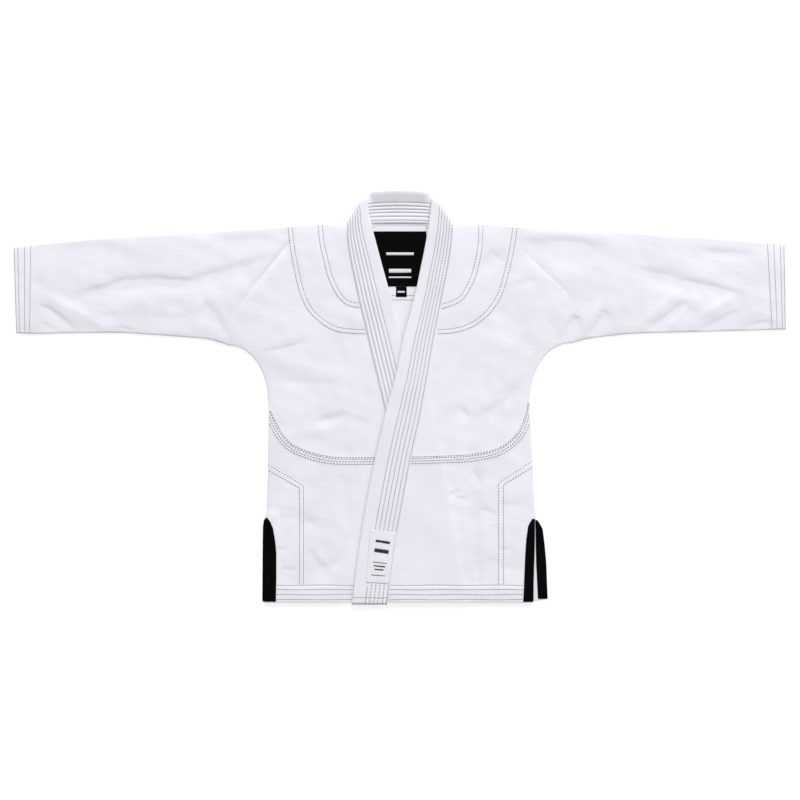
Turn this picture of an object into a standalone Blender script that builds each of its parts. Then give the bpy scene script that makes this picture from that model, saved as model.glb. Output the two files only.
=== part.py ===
"""Jiu-jitsu gi jacket laid flat on its back, face up.

Metres, +Z up. The hem points to -Y, the collar to +Y, and +X is the wearer's left.
The origin is at the middle of the outline, on the surface that the jacket lies on.
Each piece that is cut and sewn on is one object. Every piece is a wall of cloth between two
grids of points, and pieces stand 0.3 mm apart where they are sewn together.
The wearer's left front lies over the right front.
"""
import math
from bisect import bisect_right
from collections import namedtuple

import bmesh
import bpy

MM = 0.001                # the tables are in millimetres
WALL = 0.0016             # body cloth
GAP = 0.0003              # between pieces that touch
FRONT_LOW = WALL + GAP    # lowest underside of what lies on the back panel

SEAM_X = 0.174            # top of the armhole seam
ARM_X = 0.265             # underarm end of the armhole seam
HEM_Y = -0.3187
ROUND = 0.0018            # reach of the rounding along folded edges
PUFF = 0.0015             # how far the upper layer stands off the lower one
PUFF_REACH = 0.022
LIFT_MOST = 0.0034        # the upper layer is never further off than this

COLLAR_WIDTH = 0.053
COLLAR_THICK = 0.0046
COLLAR_PRESSED = 0.0034   # where it is hidden under the other front
FOLD_OUT = 0.0052         # middle of the cloth, outside the fold line, where the collar turns over
FOLD_SLANT = 1.1          # the turn runs on along the fold by this share of its way out
NECK_ROLL = 0.0045        # the collar's free edge stands up behind the neck
BAND_MARGIN = 0.009       # a front starts to drop this far from the lapel under it
BAND_DROP = 0.014

TAPE_THICK = 0.0008
LABEL_THICK = 0.0006

Point = namedtuple("Point", "x y")
SideCurve = namedtuple("SideCurve", "waist_x waist_y arm_y")
LapelRow = namedtuple("LapelRow", "sewn_x sewn_y free_x free_y low_sewn low_free")
NeckRow = namedtuple("NeckRow", "sewn_x sewn_y free_x free_y")
Across = namedtuple("Across", "from_sewn thick dip")
Fold = namedtuple("Fold", "x0 y0 x1 y1 x2 y2 half_width height")
TapeRow = namedtuple("TapeRow", "y inner outer")

# Outline, from the collar outwards and down. RIGHT is the wearer's right, at -X.
SLEEVE_TOP = {
    "left": ((85, 272.5), (265, 261), (430, 252.3), (520, 245.5), (600, 238.5)),
    "right": ((-85, 272.5), (-265, 260.3), (-430, 250.2), (-520, 243.2), (-600, 234)),
}
SLEEVE_BOTTOM = {
    "left": ((265, 84.5), (276, 87), (295, 91.7), (332, 96.3), (370, 99.5), (426, 101),
             (482, 102.6), (538, 104.1), (598, 105.7)),
    "right": ((-265, 80.8), (-283, 86.2), (-301, 90.9), (-338, 94), (-394, 98), (-431, 100.2),
              (-506, 100.2), (-562, 98.7), (-596, 100)),
}
UNDERARM = {
    "left": SideCurve(waist_x=0.2018, waist_y=-0.004, arm_y=0.0845),
    "right": SideCurve(waist_x=-0.2052, waist_y=-0.004, arm_y=0.0808),
}
FRONT_SIDE = {
    "left": ((201.8, -4), (204.5, -74), (207, -112), (208, -149), (208.5, -186), (208.3, -232),
             (206.5, -276), (206, -318.7)),
    "right": ((-205.2, -4), (-205.2, -124), (-207, -174), (-208.5, -186), (-209.5, -199),
              (-209.5, -318.7)),
}
BACK_SIDE = {
    "left": ((201.8, -4), (204.5, -74), (207, -112), (208, -149), (210.5, -186), (217, -199),
             (221.5, -211), (225, -249), (226.8, -286), (228, -313.5)),
    "right": ((-205.2, -4), (-205.2, -124), (-207, -174), (-209, -186), (-211.5, -199),
              (-212, -299), (-212.5, -318)),
}
# The curved seam between the upper body and the skirt, from the side to the middle.
CURVED_SEAM = {
    "left": ((200.5, -8), (198.2, -30.3), (189.6, -53.6), (171, -73.8), (147.7, -86.3),
             (113.5, -93.3), (82.4, -95.5), (15, -97.5), (-40, -97.5)),
    "right": ((-204.2, -22.5), (-198.2, -38), (-189.6, -55), (-174, -74), (-155.4, -84.7),
              (-129, -93.3), (-98, -98), (-38.9, -98.5), (0, -98.5)),
}

# Lapels, from the fold beside the neck down to the hem; low_* is the underside's height.
LAPEL = {
    "left": (
        LapelRow(81.5, 262, 48.5, 309, 4.9, 4.9),
        LapelRow(80.5, 245, 46, 280, 4.7, 4.9),
        LapelRow(76.5, 214, 39.7, 240, 3.9, 4.4),
        LapelRow(70.5, 182, 32.2, 203, 3.2, 3.8),
        LapelRow(64, 150, 24.8, 167, 3.0, 4.0),
        LapelRow(57.5, 118, 16, 132, 3.6, 5.6),
        LapelRow(50.5, 80, 5, 92, 4.6, 7.2),
        LapelRow(41.5, 27, -6, 38, 5.8, 7.8),
        LapelRow(36, -3, -14, 9, 6.8, 7.3),
        LapelRow(31, -32, -22, -21, 6.9, 6.9),
        LapelRow(18, -90, -35.5, -79, 6.4, 5.3),
        LapelRow(5, -159, -50, -149, 5.8, 4.2),
        LapelRow(-9, -235, -63, -227, 4.3, 3.9),
        LapelRow(-20, -322.2, -75.5, -322.5, 3.8, 3.8),
    ),
    "right": (
        LapelRow(-81.5, 262, -50.5, 309, 4.9, 4.9),
        LapelRow(-82, 245, -47, 280, 4.7, 4.9),
        LapelRow(-77.7, 214, -36.8, 240, 3.9, 4.4),
        LapelRow(-71, 182, -26.9, 203, 3.0, 3.4),
        LapelRow(-64.8, 151, -17, 167, 2.5, 2.9),
        LapelRow(-57, 120, -8.4, 132, 2.0, 2.2),
        LapelRow(-49, 85, 1.5, 97, 1.9, 1.9),
        LapelRow(-35, 27, 16, 38, 1.9, 1.9),
        LapelRow(-21, -32, 31, -21, 1.9, 1.9),
        LapelRow(-8, -90, 45, -79, 1.9, 1.9),
        LapelRow(5, -159, 59, -149, 1.9, 1.9),
        LapelRow(18, -235, 72, -227, 1.9, 1.9),
        LapelRow(29, -318.2, 84.5, -318.5, 1.9, 1.9),
    ),
}
LAPEL_STEPS = {"left": 24, "right": 20}
# Back of the neck, inside up, from the wearer's left to the right.
NECK_ROWS = (
    NeckRow(81.5, 262, 48.5, 309),
    NeckRow(72, 263.1, 45, 316),
    NeckRow(58, 264.1, 38, 320),
    NeckRow(30, 265.3, 21, 321.7),
    NeckRow(0, 265.6, 0, 322.5),
    NeckRow(-30, 265.3, -22, 321.7),
    NeckRow(-58, 264.1, -39.5, 320),
    NeckRow(-72, 263.1, -47, 316),
    NeckRow(-81.5, 262, -50.5, 309),
)
NECK_STEPS = 14
FOLD_STEPS = 6
# Across the collar: distance from its sewn edge, thickness, and how far a stitch row sinks in.
COLLAR_ACROSS = (
    Across(0.0, 2.4, 0.0), Across(1.5, 3.4, 0.35), Across(4.6, 4.1, 0.0), Across(7.8, 4.2, 0.4),
    Across(10.9, 4.3, 0.0), Across(14.1, 4.4, 0.4), Across(17.2, 4.4, 0.0),
    Across(20.4, 4.5, 0.4), Across(23.5, 4.5, 0.0), Across(26.7, 4.6, 0.4),
    Across(29.8, 4.6, 0.0), Across(33.0, 4.6, 0.4), Across(37.0, 4.6, 0.0),
    Across(43.0, 4.6, 0.0), Across(48.5, 4.5, 0.0), Across(51.8, 3.6, 0.0), Across(53.0, 2.2, 0.0),
)

# Creases of the upper layer: three points along each, reach to the side, height (- is a trough).
FOLDS = (
    Fold(-528, 159, -373, 184, -202, 226, 13, -1.2),
    Fold(-513, 124, -373, 150, -233, 189, 16, 1.1),
    Fold(-171, 235, -221, 178, -261, 128, 9, -1.0),
    Fold(-157, 226, -207, 167, -247, 117, 12, 1.3),
    Fold(-292, 147, -280, 117, -269, 92, 9, -1.0),
    Fold(-552, 162, -501, 133, -451, 105, 11, 1.3),
    Fold(-560, 144, -521, 124, -505, 105, 9, -1.0),
    Fold(-560, 234, -490, 239, -420, 235, 14, -0.8),
    Fold(-218, 74, -179, 82, -145, 92, 9, -1.0),
    Fold(-215, 89, -179, 97, -146, 108, 11, 0.9),
    Fold(-202, 51, -155, 30, -93, 23, 10, -1.2),
    Fold(-194, 66, -151, 52, -106, 43, 12, 1.1),
    Fold(-129, -35, -107, -27, -85, -23, 9, -0.8),
    Fold(-182, -51, -132, -46, -78, -37, 11, 0.9),
    Fold(-82, -120, -85, -159, -81, -206, 12, -0.7),
    Fold(-140, -232, -121, -260, -93, -237, 10, -0.7),
    Fold(90, -12, 99, -21, 109, -30, 9, -0.9),
    Fold(109, -30, 148, -12, 187, 19, 10, -1.0),
    Fold(115, -30, 110, -159, 118, -276, 11, -0.9),
    Fold(129, -35, 126, -159, 132, -268, 12, 0.8),
    Fold(31, -198, 65, -225, 101, -245, 14, -0.8),
    Fold(194, 248, 252, 245, 311, 242, 13, -1.0),
    Fold(187, 237, 230, 192, 272, 152, 9, -1.0),
    Fold(173, 228, 218, 180, 258, 139, 12, 1.3),
    Fold(155, 144, 182, 108, 210, 74, 10, -0.8),
    Fold(155, 4, 183, 23, 210, 43, 10, -0.9),
    Fold(256, 89, 264, 108, 272, 128, 9, -0.9),
    Fold(295, 97, 306, 117, 319, 136, 9, -0.9),
    Fold(269, 92, 289, 120, 311, 152, 11, 1.2),
    Fold(373, 201, 448, 184, 536, 144, 13, -1.1),
    Fold(381, 175, 448, 158, 521, 124, 14, 1.0),
    Fold(389, 108, 412, 128, 443, 152, 9, -1.0),
    Fold(466, 105, 494, 120, 521, 136, 9, -1.0),
    Fold(468, 128, 490, 144, 515, 159, 10, 1.0),
)
FOLD_PARTS = 6

# Vent tapes: inner and outer edge at each height.
TAPE_FRONT = {
    "left": (TapeRow(-188.5, 205.5, 208.9), TapeRow(-194, 202, 208.9), TapeRow(-200, 199, 208.9),
             TapeRow(-221.5, 196, 208.8), TapeRow(-248.7, 194.3, 208.1),
             TapeRow(-290, 192.7, 206.8), TapeRow(-317.4, 191.4, 206.5)),
    "right": (TapeRow(-187, -206, -208.6), TapeRow(-194, -201, -209.2), TapeRow(-204, -197, -210),
              TapeRow(-225.5, -193.5, -210), TapeRow(-243, -192, -210), TapeRow(-280, -192, -210),
              TapeRow(-317, -192.7, -210)),
}
TAPE_BACK = {
    "left": (TapeRow(-190.5, 210.2, 213.2), TapeRow(-199, 210.4, 218.2),
             TapeRow(-204, 210.6, 221), TapeRow(-227.7, 211, 224), TapeRow(-256, 211.6, 226.6),
             TapeRow(-303, 213.9, 228.4), TapeRow(-312.8, 214.4, 228.9)),
    "right": (TapeRow(-189, -206, -210.5), TapeRow(-199, -199, -212.2),
              TapeRow(-225, -198, -212.7), TapeRow(-280, -198, -213), TapeRow(-316.6, -198, -213.3)),
}
FRONT_LIP = {"left": 0.0021, "right": 0.0031}     # lowest point of a front tape
VENT_LIFT = 0.0012        # the right front lies on the back's tape along its vent
VENT_TOP_Y = -0.172

NECK_LABEL = (-0.0412, 0.1725, 0.0409, 0.2582)     # x, y of two corners
SIZE_TAB = (-0.0062, 0.1562, 0.0104, 0.1722)
LAPEL_LABEL = {"top_y": -0.211, "bottom_y": -0.289, "from_sewn": 0.0012, "to_sewn": 0.0352}

CLOTH = (0.83, 0.84, 0.88)
DARK = (0.012, 0.012, 0.015)


def clear_scene():
    for old in list(bpy.data.objects):
        bpy.data.objects.remove(old, do_unlink=True)


def clamp(value, low=0.0, high=1.0):
    return min(max(value, low), high)


def mix(a, b, share):
    return a + (b - a) * share


def ease(value):
    """0 below 0, 1 above 1, smooth between."""
    value = clamp(value)
    return value * value * (3 - 2 * value)


def in_metres(rows):
    """A table's points, in metres."""
    return [Point(row[0] * MM, row[1] * MM) for row in rows]


class Line:
    """A path in plan, read by its share of length."""

    def __init__(self, points):
        self.points = [Point(*p) for p in points]
        self.lengths = [0.0]
        for a, b in zip(self.points, self.points[1:]):
            self.lengths.append(self.lengths[-1] + math.dist(a, b))

    def at(self, share):
        reach = clamp(share) * self.lengths[-1]
        i = min(max(bisect_right(self.lengths, reach), 1), len(self.points) - 1)
        step = self.lengths[i] - self.lengths[i - 1]
        part = (reach - self.lengths[i - 1]) / step if step else 0.0
        a, b = self.points[i - 1], self.points[i]
        return Point(mix(a.x, b.x, part), mix(a.y, b.y, part))

    def pair(self, y, share):
        """Makes a height on a rising path fall at a share of it."""
        total = self.lengths[-1]
        reach = next(mix(l0, l1, (y - a.y) / (b.y - a.y)) for a, b, l0, l1
                     in zip(self.points, self.points[1:], self.lengths, self.lengths[1:])
                     if a.y <= y < b.y)
        self.lengths = [length / reach * share * total if length < reach else
                        mix(share * total, total, (length - reach) / (total - reach))
                        for length in self.lengths]

    def shifted(self, distance):
        """The same path moved to its left by a distance."""
        moved = []
        last = len(self.points) - 1
        for i, p in enumerate(self.points):
            a, b = self.points[max(i - 1, 0)], self.points[min(i + 1, last)]
            length = math.dist(a, b)
            moved.append(Point(p.x - (b.y - a.y) / length * distance,
                               p.y + (b.x - a.x) / length * distance))
        return Line(moved)


def smooth_path(points, parts=5):
    """A smooth curve through a few points."""
    path = []
    last = len(points) - 1
    for i in range(last):
        p0, p1 = points[max(i - 1, 0)], points[i]
        p2, p3 = points[i + 1], points[min(i + 2, last)]
        for step in range(parts):
            path.append(tuple(curve_value(a, b, c, d, step / parts)
                              for a, b, c, d in zip(p0, p1, p2, p3)))
    path.append(tuple(points[-1]))
    return path


def curve_value(a, b, c, d, t):
    """Catmull-Rom value between b and c."""
    return 0.5 * (2 * b + (c - a) * t + (2 * a - 5 * b + 4 * c - d) * t * t
                  + (3 * b - a - 3 * c + d) * t ** 3)


def read_table(rows, key, column, value):
    """Read a table's column at a value of its key column, which may run down or up."""
    pairs = sorted((getattr(row, key), getattr(row, column)) for row in rows)
    if value <= pairs[0][0]:
        return pairs[0][1]
    for (k0, v0), (k1, v1) in zip(pairs, pairs[1:]):
        if value <= k1:
            return mix(v0, v1, (value - k0) / (k1 - k0))
    return pairs[-1][1]


def side_curve(side, steps=8):
    """The underarm, from the waist up to the armhole seam: a quarter of an ellipse."""
    curve = UNDERARM[side]
    sign = 1 if side == "left" else -1
    points = []
    for i in range(steps + 1):
        rise = math.sin(0.5 * math.pi * i / steps)
        out = 1 - math.sqrt(1 - rise * rise)
        points.append(Point(curve.waist_x + (sign * ARM_X - curve.waist_x) * out,
                            mix(curve.waist_y, curve.arm_y, rise)))
    return points


def outline_of(side):
    """The folded edges of one side, which are rounded: shoulder, sleeve and side."""
    top = smooth_path(in_metres(SLEEVE_TOP[side]), 3)
    bottom = smooth_path(in_metres(SLEEVE_BOTTOM[side]), 2)
    low = in_metres(FRONT_SIDE[side])
    return (top, list(reversed(bottom)) + list(reversed(side_curve(side)))[1:] + low[1:])


OUTLINES = [Line(path) for side in ("left", "right") for path in outline_of(side)]


def path_distance(points, x, y):
    """Distance to a path, and the share of its parts passed at the nearest point."""
    best, share = 1e9, 0.0
    parts = len(points) - 1
    for i in range(parts):
        ax, ay = points[i]
        bx, by = points[i + 1]
        dx, dy = bx - ax, by - ay
        along = clamp(((x - ax) * dx + (y - ay) * dy) / (dx * dx + dy * dy))
        distance = math.hypot(x - ax - along * dx, y - ay - along * dy)
        if distance < best:
            best, share = distance, (i + along) / parts
    return best, share


def edge_distance(x, y):
    return min(path_distance(line.points, x, y)[0] for line in OUTLINES)


def fold_path(fold):
    """The bent path of a crease through its three points."""
    points = []
    for i in range(FOLD_PARTS + 1):
        t = i / FOLD_PARTS
        a, b, c = (1 - t) * (1 - 2 * t), 4 * t * (1 - t), t * (2 * t - 1)
        points.append(((a * fold.x0 + b * fold.x1 + c * fold.x2) * MM,
                       (a * fold.y0 + b * fold.y1 + c * fold.y2) * MM))
    return points


FOLD_PATHS = [(fold_path(fold), fold.half_width * MM, fold.height * MM) for fold in FOLDS]


def relief(x, y):
    """Height that the creases add or take away."""
    total = 0.0
    for points, half_width, height in FOLD_PATHS:
        distance, share = path_distance(points, x, y)
        if distance < 2.5 * half_width:
            taper = math.sqrt(clamp(4 * share * (1 - share) + 0.15))
            total += height * taper * math.exp(-(distance / half_width) ** 2)
    return total


def lift(x, y):
    """How far the upper layer stands off what it lies on."""
    near = edge_distance(x, y)
    height = PUFF * (1 - math.exp(-near / PUFF_REACH))
    height += relief(x, y) * (1 - math.exp(-near / 0.010))
    height = max(height, 0.00005)
    return LIFT_MOST * math.tanh(height / LIFT_MOST)


def lapel_x(side, edge, y):
    """x of a lapel's sewn or free edge at a height on the front."""
    return read_table(LAPEL[side], edge + "_y", edge + "_x", y / MM) * MM


def collar_nominal(side, y):
    """Thickness of the lapel; the right one is pressed where the left front covers it."""
    if side == "left":
        return COLLAR_THICK
    return mix(COLLAR_PRESSED, COLLAR_THICK, ease((y + 0.050) / 0.030))


def raise_to_lapel(side, x, y, height):
    """A front rises to the lapel that is sewn to its edge."""
    sewn_low = read_table(LAPEL[side], "sewn_y", "low_sewn", y / MM) * MM
    away = abs(x - lapel_x(side, "sewn", y))
    share = math.exp(-away / 0.018) * (1 - math.exp(-edge_distance(x, y) / 0.010))
    return height + max(0.0, sewn_low + GAP - height) * share


def right_front_low(x, y):
    """Underside of the right front, and of the right sleeve's upper wall."""
    cover = lapel_x("left", "free", y)
    shown = 1 - ease((x - cover + 0.024) / 0.020)
    height = FRONT_LOW + lift(x, y) * shown
    vent = ease((VENT_TOP_Y - y) / 0.012) * ease((-0.182 - x) / 0.012)
    return raise_to_lapel("right", x, y, height) + VENT_LIFT * vent


def left_front_low(x, y):
    """Underside of the left front: over the back, the right front or the right lapel."""
    sewn, free = lapel_x("right", "sewn", y), lapel_x("right", "free", y)
    over_front = 1 - ease((x - free) / 0.030)
    base = mix(FRONT_LOW, FRONT_LOW + WALL + GAP, over_front)
    outside = max(sewn - x, x - free, 0.0)
    on_lapel = 1 - ease((outside - BAND_MARGIN) / BAND_DROP)
    lapel_top = FRONT_LOW + collar_nominal("right", y - 0.010) + GAP
    base = mix(base, max(lapel_top, base), on_lapel if y < 0.030 else 0.0)
    return raise_to_lapel("left", x, y, base + lift(x, y) * (1 - 0.85 * on_lapel))


FRONT_LOWS = {"left": left_front_low, "right": right_front_low}


def edge_share(x, y):
    """Share of the wall left at a rounded edge."""
    near = 1 - clamp(edge_distance(x, y) / ROUND)
    return math.sqrt(1 - 0.78 * near * near)


def front_top(side, x, y):
    return FRONT_LOWS[side](x, y) + WALL * edge_share(x, y)


def coons(bottom, top, left, right, us, vs, fade=1):
    """Plan points of a patch inside four paths; u runs left to right, v bottom to top.

    A fade above 1 keeps the bends of the bottom and top paths close to them.
    """
    grid = []
    for v in vs:
        row = []
        for u in us:
            point = []
            for k in (0, 1):
                low = bottom.at(u)[k] - mix(bottom.at(0)[k], bottom.at(1)[k], u)
                high = top.at(u)[k] - mix(top.at(0)[k], top.at(1)[k], u)
                point.append(mix(left.at(v)[k], right.at(v)[k], u)
                             + (1 - v) ** fade * low + v ** fade * high)
            row.append(Point(*point))
        grid.append(row)
    return grid


def spread(count, edge=None, far_edge=None):
    """Shares from 0 to 1, with one more close to an edge that is rounded."""
    shares = [i / count for i in range(count + 1)]
    if edge:
        shares.insert(1, edge)
    if far_edge:
        shares.insert(-1, 1 - far_edge)
    return shares


def shares_through(line, longest):
    """The shares of a path's own points, with more where two are further apart than longest."""
    shares = [0.0]
    for length in line.lengths[1:]:
        share = length / line.lengths[-1]
        parts = math.ceil((share - shares[-1]) * line.lengths[-1] / longest - 0.001)
        start = shares[-1]
        shares += [mix(start, share, (i + 1) / parts) for i in range(parts)]
    return shares


def cloth_wall(name, outer, inner, material, wrap=False):
    """One closed wall between two grids of 3-D points, closed at its rims.

    With wrap, each row is a ring and only the two end rims are closed.
    """
    rows, columns = len(outer), len(outer[0])
    points = [p for row in outer for p in row] + [p for row in inner for p in row]
    second = rows * columns

    def index(layer, i, j):
        return layer * second + i * columns + j % columns

    faces = []
    for i in range(rows - 1):
        for j in range(columns if wrap else columns - 1):
            faces.append((index(0, i, j), index(0, i, j + 1),
                          index(0, i + 1, j + 1), index(0, i + 1, j)))
            faces.append((index(1, i, j), index(1, i + 1, j),
                          index(1, i + 1, j + 1), index(1, i, j + 1)))
    for i, turn in ((0, 1), (rows - 1, -1)):
        for j in range(columns if wrap else columns - 1):
            rim = (index(0, i, j), index(1, i, j), index(1, i, j + 1), index(0, i, j + 1))
            faces.append(rim[::turn])
    if not wrap:
        for j, turn in ((0, -1), (columns - 1, 1)):
            for i in range(rows - 1):
                rim = (index(0, i, j), index(1, i, j), index(1, i + 1, j), index(0, i + 1, j))
                faces.append(rim[::turn])
    mesh = bpy.data.meshes.new(name)
    mesh.from_pydata(points, [], faces)
    shape = bmesh.new()
    shape.from_mesh(mesh)
    bmesh.ops.recalc_face_normals(shape, faces=shape.faces)
    shape.to_mesh(mesh)
    shape.free()
    mesh.shade_smooth()
    mesh.set_sharp_from_angle(angle=math.radians(35))
    piece = bpy.data.objects.new(name, mesh)
    piece.data.materials.append(material)
    garment.objects.link(piece)
    return piece


def make_material(name, colour, roughness):
    material = bpy.data.materials.new(name)
    material.use_nodes = True
    shader = material.node_tree.nodes["Principled BSDF"]
    shader.inputs["Base Color"].default_value = (*colour, 1)
    shader.inputs["Roughness"].default_value = roughness
    shader.inputs["Metallic"].default_value = 0.0
    return material


def panel(name, plan, low, high, material):
    """A flat-lying panel from its plan points and the heights of its two faces."""
    top = [[(p.x, p.y, high(p.x, p.y)) for p in row] for row in plan]
    under = [[(p.x, p.y, low(p.x, p.y)) for p in row] for row in plan]
    return cloth_wall(name, top, under, material)


def armhole(side):
    """Plan ends of the armhole seam: underarm and shoulder."""
    sign = 1 if side == "left" else -1
    near, far = in_metres(SLEEVE_TOP[side])[:2]
    share = (sign * SEAM_X - near.x) / (far.x - near.x)
    return (Point(sign * ARM_X, UNDERARM[side].arm_y),
            Point(sign * SEAM_X, mix(near.y, far.y, share)))


def neck_notch(side):
    """From the shoulder's end round the foot of the collar's fold to its sewn edge."""
    sign = 1 if side == "left" else -1
    return [Point(sign * x * MM, y * MM) for x, y in ((83.7, 272.6), (83.5, 268.0), (82.3, 260.6))]


def seam_path(side):
    return Line(smooth_path(in_metres(CURVED_SEAM[side]), 4))


def side_path(table, side, low_y, high_y):
    """The side seam between two heights, bottom to top."""
    curve = [p for p in in_metres(table[side]) if p.y < UNDERARM[side].waist_y]
    points = list(reversed(curve)) + side_curve(side)
    inside = [p for p in points if low_y < p.y < high_y]
    ends = [Point(x_at(points, y), y) for y in (low_y, high_y)]
    return [ends[0]] + inside + [ends[1]]


def x_at(points, y):
    for a, b in zip(points, points[1:]):
        if a.y <= y <= b.y and b.y > a.y:
            return mix(a.x, b.x, (y - a.y) / (b.y - a.y))
    return points[0].x if y < points[0].y else points[-1].x


def upper_side(table, side, seam_y):
    """Outer boundary of an upper panel: side seam, underarm and armhole seam."""
    arm_low, arm_top = armhole(side)
    side_part = side_path(table, side, seam_y, arm_low.y)
    inset = 0.5 * GAP * (-1 if side == "left" else 1)
    seam = [Point(mix(arm_low.x, arm_top.x, i / 6) + inset * 1.12,
                  mix(arm_low.y, arm_top.y, i / 6)) for i in range(7)]
    return side_part[:-1] + seam


def sewn_edge(side, low_y, high_y):
    """A front's edge along the collar, bottom to top, 0.3 mm clear of it."""
    edge = [Point(r[0] * MM, r[1] * MM) for r in reversed(lapel_rows(side))]
    clear = 1.05 * GAP * (1 if side == "left" else -1)
    inside = [p for p in edge if low_y + 0.003 < p.y < high_y - 0.003]
    points = [Point(x_at(edge, low_y), low_y)] + inside + [Point(x_at(edge, high_y), high_y)]
    return [Point(p.x + clear, p.y) for p in points]


def front_upper(side, material):
    seam = seam_path(side)
    sign = 1 if side == "left" else -1
    bottom = cut_at(seam, seam_end(side), sign).shifted(0.5 * GAP * -sign)
    arm_top = armhole(side)[1]
    notch = neck_notch(side)
    outer = Line([bottom.points[0]] + upper_side(FRONT_SIDE, side, bottom.points[0].y)[1:])
    edge = sewn_edge(side, bottom.points[-1].y, notch[-1].y)
    inner = Line(edge[:-1] + notch[::-1])
    top = Line([outer.points[-1], notch[0]])
    inner.pair(UNDERARM[side].arm_y + 0.012, corner_share(outer, side))
    up = with_shares(shares_through(inner, 0.024), [corner_share(outer, side)])
    plan = coons(bottom, top, outer, inner, spread(13, edge=0.011), up, fade=6)
    return panel("front_%s_upper" % side, plan, FRONT_LOWS[side],
                 lambda x, y: front_top(side, x, y), material)


def seam_end(side):
    """x where the curved seam meets the collar."""
    y = seam_path(side).points[-1].y
    return sewn_edge(side, y, 0.0)[0].x


def cut_at(line, x, sign):
    """A path from the side, ended where it reaches x."""
    kept = [p for p in line.points if (p.x - x) * sign > 0.002]
    return Line(kept + [Point(x, kept[-1].y)])


def front_skirt(side, material):
    seam = seam_path(side)
    sign = 1 if side == "left" else -1
    top = cut_at(seam, seam_end(side), sign).shifted(0.5 * GAP * sign)
    outer = Line(side_path(FRONT_SIDE, side, HEM_Y, top.points[0].y)[:-1] + [top.points[0]])
    inner = Line(sewn_edge(side, HEM_Y, top.points[-1].y))
    bottom = Line([outer.points[0], inner.points[0]])
    plan = coons(bottom, top, outer, inner, spread(13, edge=0.011),
                 shares_through(inner, 0.030))
    return panel("front_%s_skirt" % side, plan, FRONT_LOWS[side],
                 lambda x, y: front_top(side, x, y), material)


def back_seam(offset):
    """The curved seam across the back, from the wearer's right to the left."""
    left = [p for p in seam_path("left").points if p.x > 0.02]
    right = [p for p in seam_path("right").points if p.x < -0.02]
    return Line(right + left[::-1]).shifted(offset)


def corner_share(line, side):
    """Share of an upper panel's outer path at which it reaches the underarm's corner."""
    y = armhole(side)[0].y
    reach = next(length for p, length in zip(line.points, line.lengths) if p.y > y - 0.0001)
    return reach / line.lengths[-1]


def with_shares(shares, extra):
    """Shares with some more put in, each in place of a plain one that it nearly meets."""
    for share in extra:
        shares = sorted([s for s in shares if abs(s - share) > 0.0005] + [share])
    return shares


def spread_back(top):
    """Shares across the back: the neckline's own corners, more between, and both edges."""
    shares = shares_through(top, 0.024)
    return shares[:1] + [0.005] + shares[1:-1] + [0.995] + shares[-1:]


def back_low(x, y):
    return WALL * (1 - edge_share(x, y))


def back_upper(material):
    """The back's upper panel; returns its shares across, which the skirt's seam needs too."""
    bottom = back_seam(0.5 * GAP)
    sides = {}
    for side, end in (("right", bottom.points[0]), ("left", bottom.points[-1])):
        sides[side] = Line([end] + upper_side(BACK_SIDE, side, end.y)[1:])
    right, left = neck_notch("right"), neck_notch("left")
    neck = [Point(x * MM, y * MM) for x, y in ((-81.9, 260.7), (-60, 262.9), (-30, 264.3),
                                               (0, 264.7), (30, 264.3), (60, 262.9), (81.9, 260.7))]
    top = Line([sides["right"].points[-1]] + right[:2] + neck + left[:2][::-1]
               + [sides["left"].points[-1]])
    up = with_shares(spread(11, far_edge=0.008),
                     [corner_share(sides[side], side) for side in ("right", "left")])
    plan = coons(bottom, top, sides["right"], sides["left"], spread_back(top), up, fade=6)
    panel("back_upper", plan, back_low, lambda x, y: WALL, material)
    return spread_back(top)


def back_skirt(material, across):
    top = back_seam(-0.5 * GAP)
    right = side_path(BACK_SIDE, "right", HEM_Y, top.points[0].y)
    left = side_path(BACK_SIDE, "left", -0.3135, top.points[-1].y)
    right = Line(right[:-1] + [top.points[0]])
    left = Line(left[:-1] + [top.points[-1]])
    bottom = Line([right.points[0], Point(0.150, HEM_Y), Point(0.200, -0.3172), left.points[0]])
    plan = coons(bottom, top, right, left, across, spread(7))
    return panel("back_skirt", plan, back_low, lambda x, y: WALL, material)


def sleeve(side, material):
    """A flattened tube from the cuff to the armhole seam, open at both ends."""
    sign = 1 if side == "left" else -1
    arm_low, arm_top = armhole(side)
    clear = 0.5 * GAP * 1.12 * sign
    top = [p for p in smooth_path(in_metres(SLEEVE_TOP[side]), 4) if abs(p[0]) > SEAM_X + 0.002]
    top = Line([Point(arm_top.x + clear, arm_top.y)] + [Point(*p) for p in top])
    bottom = smooth_path(in_metres(SLEEVE_BOTTOM[side]), 3)
    bottom = Line([Point(arm_low.x + clear, arm_low.y)] + [Point(*p) for p in bottom[1:]])
    stations = [0.0, 0.03, 0.08] + [0.14 + 0.86 * i / 14 for i in range(15)]
    outer, inner = [], []
    for share in stations:
        a, b = bottom.at(share), top.at(share)
        width = math.dist(a, b)
        along = Point((b.x - a.x) / width, (b.y - a.y) / width)
        outer.append(sleeve_ring(a, along, width, FRONT_LOW + WALL, WALL, side))
        inner.append(sleeve_ring(a, along, width, FRONT_LOW, 0.0, side, bottom_z=WALL))
    return cloth_wall("sleeve_%s" % side, outer, inner, material, wrap=True)


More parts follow.
